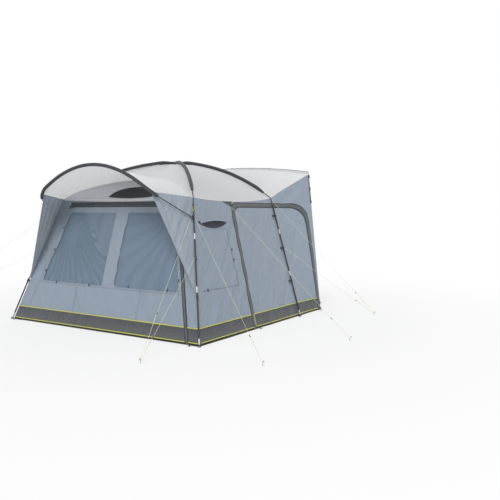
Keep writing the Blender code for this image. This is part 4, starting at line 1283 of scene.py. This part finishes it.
def sideRows(sign, tall=44):
    rows = []
    for course in steps(tall):
        row = []
        for t in steps(56):
            z = lerp(0.001, sideEaveZ(t) - 0.0027, course)
            row.append(lerp(frontCorner(z), rearCorner(z), t))
        for t in steps(18)[1:]:
            z = lerp(0.001, lerp(cabin["eaveRear"], cabin["railEnd"], t) - 0.0027, course)
            row.append(lerp(rearCorner(z), vanEdge(z), t))
        row = [onSide(p, sign) for p in row]
        rows.append(row if sign > 0.0 else row[::-1])
    return rows


def sidePoint(y, z, sign):
    # Point of the side wall at a depth from the front wall's foot and a height
    a, b = frontCorner(z), rearCorner(z)
    if y - midY > b.y:
        a, b = b, vanEdge(z)
    t = (y - midY - a.y) / (b.y - a.y)
    return onSide(lerp(a, b, t), sign)


def sidePieces(side, sign):
    shift = sideFolds(sign)
    rows = sideRows(sign)
    seam = cabin["skirt"]
    backs = (0.0, 0.0, door["rearCorner"], door["frontCorner"])
    whole = doorCorners(-seam, door["topZ"])
    doorway = rounded(grown(whole, 2.0 * seamGap), backs, 10)
    blindCorners = [(setback * blind["sill"] + blind["front"] - midY, blind["sill"]),
                    (blind["rearY"] - midY, blind["sill"]), (blind["rearY"] - midY, blind["top"]),
                    (setback * blind["top"] + blind["front"] - midY, blind["top"])]
    blindBacks = (blind["corner"],) * 4
    window = rounded(grown(blindCorners, 2.0 * seamGap), blindBacks)

    def beneath(top):
        return [(-2.4, -0.5), (2.4, -0.5), (2.4, top), (-2.4, top)]

    def cloth(keep=None, cuts=(), **how):
        mesh = lofted(rows, keep=keep and prism("X", keep), cuts=[prism("X", c) for c in cuts], **how)
        return moved(mesh, shift)

    def sheet(name, skin, body, node, keep=None, cuts=(), area=None):
        showSheet(name + "_" + side, cloth(keep, cuts), body, skin, node + "_" + side, name, area=area)

    sheet("sideCloth", "wall", "awning", "side_wall", cuts=[doorway, window, beneath(seam + seamGap)])
    sheet("sideSkirt", "skirt", "awning", "side_skirt", beneath(seam - seamGap), [doorway], 0.253)
    sheet("blindCloth", "wall", "awning", "side_blind", rounded(blindCorners, blindBacks))
    sheet("doorCloth", "wall", side + "_door", "door",
          rounded(doorCorners(seam + seamGap, door["topZ"]), backs, 10))
    sheet("doorSkirt", "skirt", side + "_door", "door_skirt", doorCorners(0.004, seam - seamGap))
    for name, skin, low, high, lift in zipBands["side"]:
        mesh = cloth(rounded(grown(whole, high), backs, 12), [rounded(grown(whole, -low), backs, 12)],
                     thick=0.0014, depth=-lift)
        show(name + side, mesh, "awning", skin, "door_zip_" + side, skin == "zip")
    flapPieces(side, sign, shift)
    pipingPieces(side, sign, shift)


def flapPieces(side, sign, shift):
    # Hood over the vent, sewn along its top, with a net patch under its lower edge
    out = sideOut(sign)

    def patch(count, span, top, foot, lift):
        # Rows between two curves of the wall, lifted off it by the share down and the bell
        rows = []
        for k in steps(count):
            row = []
            for t in steps(28):
                bell = math.sin(math.pi * t)
                p = sidePoint(lerp(*span, t), lerp(top(bell), foot(bell), k), sign)
                row.append(p + out * lift(bell, k) + shift(p))
            rows.append(row if sign < 0.0 else row[::-1])
        return rows

    rows = patch(10, (flap["frontY"], flap["rearY"]), lambda bell: flap["top"] - 0.001,
                 lambda bell: lerp(flap["foot"] + flap["hemEnds"], flap["foot"] + flap["hemMiddle"],
                                   bell**0.8),
                 lambda bell, k: 0.003 + flap["belly"] * bell**0.8 * k**1.5)
    showSheet("flapCloth_" + side, lofted(rows), side + "_flap", "wall", "vent_flap_" + side, "flap")
    rows = patch(8, (flap["frontY"] - vents["before"], flap["rearY"] + vents["after"]),
                 lambda bell: flap["foot"] + vents["top"] + vents["crown"] * bell,
                 lambda bell: flap["foot"] + vents["foot"] - vents["hollow"] * bell**0.7,
                 lambda bell, k: vents["lift"])
    show("ventNet_" + side, lofted(rows, 0.0008), "awning", "net", "vent_flap_" + side)


hems = ((cabin["skirt"], 0.0068), (0.034, 0.0058))  # height and radius of each piping
# How far piping stands off, and how far its runs stay from the edges of their cloth
piping = {"off": 0.0038, "frontOff": 0.0046, "overZip": 0.0076, "upright": 0.0044, "uprightOff": 0.0085,
          "uprightY": 0.031, "wall": (0.055, 0.030), "door": (0.038, 0.046),
          "panel": (0.030, 0.026), "clear": 0.040, "surround": 0.032, "corner": 0.006}


def pipingPieces(side, sign, shift):
    # Lime piping on the skirt's seam and hem, and beside the door's front zip
    out = Vector((sign, 0.0, lean))
    spans = {"awning": (piping["wall"][0], door["frontY"] - piping["wall"][1]),
             side + "_door": (door["frontY"] + piping["door"][0], door["rearY"] - piping["door"][1])}
    for body, (start, end) in spans.items():
        meshes = []
        for z, radius in hems:
            line = [sidePoint(max(y, setback * z + 0.004), z, sign)
                    for y in steps(round((end - start) / 0.05), start, end)]
            meshes.append(tubeMesh([p + shift(p) + out * piping["off"] for p in line], radius, 8))
        if body == "awning":
            line = [sidePoint(door["frontY"] + piping["uprightY"], z, sign)
                    for z in steps(6, hems[1][0], hems[0][0])]
            line = [p + shift(p) + out * piping["uprightOff"] for p in line]
            meshes.append(tubeMesh(line, piping["upright"], 8))
        slot = "side_skirt_" + side if body == "awning" else "door_skirt_" + side
        show("piping_" + body + "_" + side, joinMeshes(meshes), body, "piping", slot)


def frontPiping():
    def run(low, high, z, radius, clear=-9.0):
        # Left of the clear line it stands off, over the zip and in front of the surround
        line = [at(x, setback * z, z) for x in steps(max(2, round((high - low) / 0.05)), low, high)]
        off = [piping["overZip" if p.x < clear else "frontOff"] for p in line]
        return tubeMesh([p + frontFolds(p) - Vector((0.0, o, 0.0)) for p, o in zip(line, off)],
                        radius, 8)

    panel, surround = [], []
    for z, radius in hems:
        middle = frontWall["foot"] - frontWall["slope"] * z
        outer = cabin["halfWidth"] - lean * z - piping["corner"]
        left, right = piping["panel"]
        inner = middle + piping["surround"]
        panel.append(run(-middle - left, middle - right, z, radius, -middle + piping["clear"]))
        surround += [run(-outer, -middle - piping["surround"], z, radius), run(inner, outer, z, radius)]
    show("piping_panel", joinMeshes(panel), "front_panel", "piping", "front_panel_skirt")
    show("piping_surround", joinMeshes(surround), "awning", "piping", "front_surround")


for sideName, sideSign in sides.items():
    sidePieces(sideName, sideSign)
frontPiping()
print("side walls and doors made")


# Small fittings

fittings = {"toggle": (0.010, 0.009, 0.034), "peg": 0.0032, "cord": 0.0026,
            "frontClips": (0.560, guys["lower"]), "rearClips": (0.530, guys["rear"], 1.500),
            "frontReach": 0.012, "rearReach": 0.046, "hook": (0.013, 0.018, 0.026), "link": 0.0040,
            "fall": 0.060}
# Turned pieces, as heights and radii
turned = {"clip": [(-0.017, 0.0135), (-0.015, 0.0165), (0.015, 0.0165), (0.017, 0.0135)],
          "knob": [(0.0, 0.012), (0.002, 0.019), (0.006, 0.0215), (0.013, 0.0215), (0.017, 0.018),
                   (0.018, 0.006)],
          "cap": [(0.0075, 0.0205), (0.010, 0.0220), (0.014, 0.0215), (0.024, 0.0150),
                  (0.032, 0.0128)]}


def lathed(profile, place, way, count=20):
    # Profile of (height, radius) pairs turned about a line
    form = bmesh.new()
    rings = [[form.verts.new((r * math.cos(a), r * math.sin(a), h))
              for a in roundTurn(count)] for h, r in profile]
    for low, high in zip(rings, rings[1:]):
        for k in range(count):
            j = (k + 1) % count
            form.faces.new((low[k], low[j], high[j], high[k]))
    form.faces.new(rings[0][::-1])
    form.faces.new(rings[-1])
    form.transform(Matrix.Translation(place) @ way.to_track_quat("Z", "Y").to_matrix().to_4x4())
    return meshFrom(form, "lathed")


def strapMesh(points, wide, width):
    # Flat webbing through the points; wide is the direction across it
    return lofted([[p - wide * width / 2.0, p + wide * width / 2.0] for p in points], 0.0014)


def toggleMeshes(place, out, way):
    size = fittings["toggle"]
    body = boxMesh(size, place + out * 0.008, way, 0.3)
    side = out.cross(way).normalized()
    loop = [place + out * (0.003 + 0.006 * math.sin(a)) + side * 0.012 * math.cos(a)
            for a in steps(12, 0.0, math.pi)]
    return [body, tubeMesh(loop, 0.0014, 6)]


def frontPoint(x, z, lift=0.003):
    base = at(x, setback * z, z)
    return base + frontFolds(base) + Vector((0.0, -lift, 0.0))


# Heights up the windows' outer edges, and places on the panel as x and z
panelParts = {"toggles": (0.72, 1.02, 1.33),
              "sillToggles": {-1.0: [(-0.30, 0.574), (-0.95, 0.574)],
                              1.0: [(0.42, 0.597), (1.08, 0.597)]},
              "bindings": ((0.62, 0.76), (0.80, 0.98), (1.02, 1.12), (1.16, 1.36)),
              "edge": (0.62, 1.50), "level": 0.555, "uprights": (-0.52, 0.64), "upright": (0.205, 0.55)}


def windowEdge(z):
    # Outer edge of a window's frame, with its toggles' offset
    tall = frontWall["windowTop"] - frontWall["sill"]
    slope = (frontWall["windowFoot"] - frontWall["windowTopX"]) / tall
    return frontWall["windowFoot"] - slope * (z - frontWall["sill"]) + 0.014


def frontLine(places, radius, lift):
    return tubeMesh([frontPoint(x, z, lift) for x, z in places], radius, 6)


def windowFittings():
    out, way = Vector((0.0, -1.0, setback)).normalized(), Vector((0.0, setback, 1.0)).normalized()
    places = []
    for sign, sill in panelParts["sillToggles"].items():
        places += [(sign * windowEdge(z), z) for z in panelParts["toggles"]] + sill
    meshes = []
    for x, z in places:
        meshes += toggleMeshes(frontPoint(x, z), out, way)
    show("windowToggles", joinMeshes(meshes), "front_panel", "plastic", "front_panel")
    post = frontWall["postX"] + frontWall["post"] - 0.008
    meshes = [frontLine([(post, z) for z in steps(8, low, high)], 0.0030, 0.004)
              for low, high in panelParts["bindings"]]
    meshes.append(frontLine([(-windowEdge(z) + 0.016, z) for z in steps(20, *panelParts["edge"])],
                            0.0022, 0.003))
    show("curtainBinding", joinMeshes(meshes), "front_panel", "webbing", "front_panel")
    level = panelParts["level"]
    half = frontWall["foot"] - frontWall["slope"] * level - 0.03
    seams = [frontLine([(x, level) for x in steps(60, -half, half)], 0.0016, 0.0018)]
    for x in panelParts["uprights"]:
        seams.append(frontLine([(x, z) for z in steps(12, *panelParts["upright"])], 0.0014, 0.0018))
    show("panelSeams", joinMeshes(seams), "front_panel", "seam", "front_panel")


topToggle = {"place": (0.006, -0.016, -0.010), "size": (0.010, 0.007, 0.046), "ring": 0.015,
             "ringUp": 0.012, "cord": 0.0022}
knob = {"off": 0.0040, "face": 0.0095, "rim": 0.0215, "ridge": (0.006, 0.006, 0.008)}


def legFittings(side, sign):
    meshes = []
    for isFront in (True, False):
        back = Vector((sign * 0.35, 0.9, 0.0) if isFront else (0.0, -1.0, 0.0)).normalized()
        for z in fittings["frontClips" if isFront else "rearClips"]:
            pole = onSide(legLine(z, isFront), sign)
            corner = onSide((frontCorner if isFront else rearCorner)(z), sign)
            out = (pole - corner).normalized()
            along = (onSide(legLine(z + 0.1, isFront), sign) - pole).normalized()
            meshes.append(lathed(turned["clip"], pole, along))
            hook = corner + out * 0.010 + back * fittings["frontReach" if isFront else "rearReach"]
            meshes.append(boxMesh(fittings["hook"], hook, along, 0.25))
            link = [lerp(pole, hook, t) for t in steps(3, 0.2, 0.9)]
            meshes.append(tubeMesh(link, fittings["link"], 6))
            fall = [hook + back * 0.004 - along * d + out * 0.004 * math.sin(d * 70.0)
                    for d in steps(8, 0.0, fittings["fall"])]
            meshes.append(tubeMesh(fall, fittings["cord"], 6))
    show("clips_" + side, joinMeshes(meshes), "awning", "plastic", "front_leg_" + side)
    pole = onSide(legLine(guys["upper"], True), sign)
    along = (onSide(legLine(1.7, True), sign) - pole).normalized()
    x, y, z = topToggle["place"]
    tab = pole + Vector((-sign * x, y, z))
    reach = topToggle["ring"]
    ring = [pole + Vector((sign * reach * math.cos(a), reach * math.sin(a), topToggle["ringUp"]))
            for a in roundTurn(16)]
    lime = [boxMesh(topToggle["size"], tab, along, 0.3),
            tubeMesh(ring, topToggle["cord"], 6, closed=True)]
    show("topToggle_" + side, joinMeshes(lime), "awning", "lime", "front_leg_" + side)
    place = onSide(hubPin() + Vector((knob["off"], 0.0, 0.0)), sign)
    outward = Vector((sign, 0.0, 0.0))
    parts = [lathed(turned["knob"], place, outward)]
    for a in roundTurn(8):
        rim = place + Vector((sign * knob["face"], knob["rim"] * math.cos(a),
                              knob["rim"] * math.sin(a)))
        parts.append(boxMesh(knob["ridge"], rim, outward, 0.3))
    show("hubKnob_" + side, joinMeshes(parts), "awning", "plastic", "hub_" + side)
    for end in ("front", "rear"):
        ground, shin = (onSide(legLine(z, end == "front"), sign) for z in (0.0, 0.5))
        show("footCap_%s_%s" % (end, side), lathed(turned["cap"], ground, shin - ground), "awning",
             "plastic", "%s_leg_%s" % (end, side))


# Places and sizes on a side wall: y and z of the toggles, then lift and radius of each seam
wallParts = {"toggles": ((blind["rearY"], 0.93), (blind["rearY"], 1.06), (0.38, 0.605)),
             "toggleOff": 0.012, "blindSeam": (0.0022, 0.0026), "topSeam": (0.0016, 0.0014),
             "cornerSeam": (0.0012, 0.0012), "cornerSpan": (0.21, 1.74)}
# Corners of the patch under the eave from its guy's place, as y and z, and the ring on it
eavePatch = {"rear": ((0.035, 1.704), (0.012, 1.612)), "front": ((-0.190, 1.700), (-0.014, 1.640)),
             "ringZ": 1.622, "ringLift": 0.004, "ring": 0.011, "wire": 0.0017}


def wallFittings(side, sign):
    shift = sideFolds(sign)
    out = sideOut(sign)

    def point(y, z, lift=0.003):
        base = sidePoint(y, z, sign)
        return base + shift(base) + out * lift

    def seam(places, kind):
        lift, radius = wallParts[kind]
        return tubeMesh([point(y, z, lift) for y, z in places], radius, 6)

    rear = blind["rearY"]
    meshes = []
    for y, z in wallParts["toggles"]:
        meshes += toggleMeshes(point(y + wallParts["toggleOff"], z), out, up(1.0))
    show("blindToggles_" + side, joinMeshes(meshes), "awning", "plastic", "side_blind_" + side)
    line = [(rear, z) for z in steps(24, blind["top"], blind["sill"])]
    line += [(y, blind["sill"]) for y in steps(24, rear, setback * blind["sill"] + blind["front"])][1:]
    top = [(y, blind["top"]) for y in steps(24, setback * blind["top"] + blind["front"], rear)]
    corner = [(cabin["depth"] - 0.022 * z, z) for z in steps(40, *wallParts["cornerSpan"])
              if not 0.0 < z - door["topZ"] + 0.03 < 0.06]
    seams = [seam(line, "blindSeam"), seam(top, "topSeam"), seam(corner, "cornerSeam")]
    show("wallSeams_" + side, joinMeshes(seams), "awning", "seam", "side_wall_" + side)
    # Dark patch under the eave that carries a guy line
    y = eaveTie().y + midY
    ends = (eavePatch["front"], eavePatch["rear"])
    rows = [[point(lerp(y + a, y + b, k), lerp(high, low, k)) for (a, high), (b, low) in ends]
            for k in steps(6)]
    if sign > 0.0:
        rows = rows[::-1]
    show("eavePatch_" + side, lofted(rows), "awning", "patch", "side_wall_" + side)
    centre, reach = point(y, eavePatch["ringZ"], eavePatch["ringLift"]), eavePatch["ring"]
    ring = [centre + Vector((0.0, reach * math.cos(a), reach * math.sin(a))) for a in roundTurn(14)]
    show("eaveRing_" + side, tubeMesh(ring, eavePatch["wire"], 6, closed=True), "awning", "plastic",
         "side_wall_" + side)


vanStrap = {"place": (0.004, -0.014), "span": (2.08, 1.70), "width": 0.020, "tie": (0.010, 0.030),
            "sag": 0.016}
# Heights, sizes and offsets of the blocks down the van edge
vanBlocks = [(z, (0.012, 0.026, 0.034), (0.008, -0.014)) for z in (1.93, 1.72)]
vanBlocks += [(2.120, (0.014, 0.024, 0.050), (0.010, -0.016))]
vanBlocks += [(z, (0.012, 0.020, 0.026), (0.007, -0.012)) for z in (0.115, 0.030)]


def vanFittings(side, sign):
    # Straps down the van edge
    def beside(z, x, y, fall=0.0):
        return onSide(vanEdge(z) + Vector((x, y, fall)), sign)

    x, y = vanStrap["place"]
    start, reach = vanStrap["tie"]
    edge = [beside(z, x, y) for z in steps(10, *vanStrap["span"])]
    parts = [strapMesh(edge, Vector((0.0, sign, 0.0)), vanStrap["width"])]
    for z, size, offset in vanBlocks:
        parts.append(boxMesh(size, beside(z, *offset), up(1.0), 0.2))
        if z < 1.0:
            tie = [beside(z, start + reach * t, y, -vanStrap["sag"] * math.sin(2.6 * t))
                   for t in steps(8)]
            parts.append(tubeMesh(tie, fittings["cord"], 6))
    show("vanStraps_" + side, joinMeshes(parts), "awning", "webbing", "side_wall_" + side)


hemLoop = {"x": 0.03, "half": 0.014, "z": 0.022, "drop": 0.018, "lift": 0.006}
hemStrap = {"start": 0.002, "long": 0.055, "high": 0.010, "drop": 0.006, "width": 0.016}
wirePeg = {"foot": 0.062, "low": 0.001, "neck": (0.004, 0.020), "hook": (0.012, 0.022, 0.008),
           "tip": (0.020, 0.012)}


def hemPegs():
    # Webbing loops at the hem with their pegs, and a free one that folds down with the panel
    loop = [frontPoint(hemLoop["x"] + hemLoop["half"] * math.cos(a),
                       hemLoop["z"] - hemLoop["drop"] * math.sin(a), hemLoop["lift"])
            for a in steps(10, 0.0, math.pi)]
    show("hemLoop", tubeMesh(loop, fittings["cord"], 6), "front_panel", "webbing", "front_panel_skirt")
    spots = [("front_left", at(-1.60, 0.0, 0.0), Vector((-0.45, -0.9, 0.0))),
             ("front_right", at(1.585, 0.0, 0.0), Vector((0.2, -1.0, 0.0)))]
    depths = {"door": door["frontY"] + 0.05, "leg": cabin["depth"] - 0.07, "van": railY - 0.10}
    for side, sign in sides.items():
        for tag, y in depths.items():
            place = onSide(at(cabin["halfWidth"], y, 0.0), sign)
            spots.append((tag + "_" + side, place, Vector((sign, -0.15, 0.0))))
    for tag, place, way in spots:
        way = way.normalized()
        line = [place + way * (hemStrap["start"] + hemStrap["long"] * t)
                + up(hemStrap["high"] + hemStrap["high"] * math.sin(math.pi * t) - hemStrap["drop"] * t)
                for t in steps(8)]
        strap = strapMesh(line, Vector((-way.y, way.x, 0.0)), hemStrap["width"])
        foot = place + way * wirePeg["foot"]
        out, height, bend = wirePeg["hook"]
        peg = [foot + up(wirePeg["low"]), foot + way * wirePeg["neck"][0] + up(wirePeg["neck"][1])]
        peg += [foot + way * (out - bend * math.cos(a)) + up(height + bend * math.sin(a))
                for a in steps(6, 0.4, math.pi)]
        peg.append(foot + way * wirePeg["tip"][0] + up(wirePeg["tip"][1]))
        show("pegLoop_" + tag, strap, "awning", "webbing", "front_surround")
        show("hemPeg_" + tag, tubeMesh(peg, fittings["peg"], 8), "awning", "steel", "guy_peg_front")


windowFittings()
for sideName, sideSign in sides.items():
    legFittings(sideName, sideSign)
    wallFittings(sideName, sideSign)
    vanFittings(sideName, sideSign)
hemPegs()
print("fittings made")

# Frame pieces that keep their shape take their finish here

frameSkins = {"roof_pole": "pole", "porch_hoop": "pole", "front_leg": "leg", "rear_leg": "leg",
              "hub_": "plastic", "rail_strip": "rail", "guy_peg": "steel"}
for found in bpy.data.objects:
    for start, skin in frameSkins.items():
        if found.name.startswith(start) and found.type == "MESH":
            for holder in found.material_slots:
                holder.material = skins[skin]


# Floor, world and lamps

light = {"world": 0.58, "floor": 0.90, "fade": (3.2, 7.0, 0.55),
         "lamps": {"key": (1.60, 25.0, (-0.35, 0.75, -0.85)), "fill": (0.15, 60.0, (-0.9, 0.1, -0.45))}}


def makeFloor():
    form = bmesh.new()
    bmesh.ops.create_circle(form, cap_ends=True, segments=96, radius=60.0)
    mesh = meshFrom(form, "floor")
    floor = bpy.data.objects.new("floor", mesh)
    floor.location.z = -0.0005
    scene.collection.objects.link(floor)
    skin, tree, sockets = emptySkin("floor")
    plug(tree, sockets, {"Base Color": (*(light["floor"],) * 3, 1.0), "Roughness": 0.9,
                         "Specular IOR Level": 0.1})
    # Seen by the camera, it turns white away from the awning
    away = wire(tree, "ShaderNodeVectorMath", {0: placeOn(tree)}, operation="LENGTH").outputs["Value"]
    camera = wire(tree, "ShaderNodeLightPath").outputs["Is Camera Ray"]
    share = product(tree, spread(tree, away, *light["fade"]), camera)
    glow = wire(tree, "ShaderNodeEmission", {"Color": (1, 1, 1, 1), "Strength": 1.0})
    surface = tree.nodes["Principled BSDF"].outputs[0]
    whole = wire(tree, "ShaderNodeMixShader", {0: share, 1: surface, 2: glow.outputs[0]})
    plug(tree, tree.nodes["Material Output"].inputs, {"Surface": whole.outputs[0]})
    mesh.materials.append(skin)


def makeLight():
    world = bpy.data.worlds.new("studio")
    scene.world = world
    world.use_nodes = True
    tree = world.node_tree
    path = wire(tree, "ShaderNodeLightPath").outputs
    seen = maths(tree, "MAXIMUM", path["Is Camera Ray"],
                 maths(tree, "MAXIMUM", path["Is Glossy Ray"], path["Is Transmission Ray"]))
    plug(tree, tree.nodes["Background"].inputs, {
        "Color": (1.0, 1.0, 1.0, 1.0), "Strength": spread(tree, seen, 0.0, 1.0, light["world"])})
    for name, (power, angle, way) in light["lamps"].items():
        lamp = bpy.data.lights.new(name, "SUN")
        lamp.energy = power
        lamp.angle = math.radians(angle)
        holder = bpy.data.objects.new(name, lamp)
        holder.rotation_euler = Vector(way).to_track_quat("-Z", "Y").to_euler()
        scene.collection.objects.link(holder)
    scene.view_settings.view_transform = "Standard"


makeFloor()
makeLight()
print("lights set")
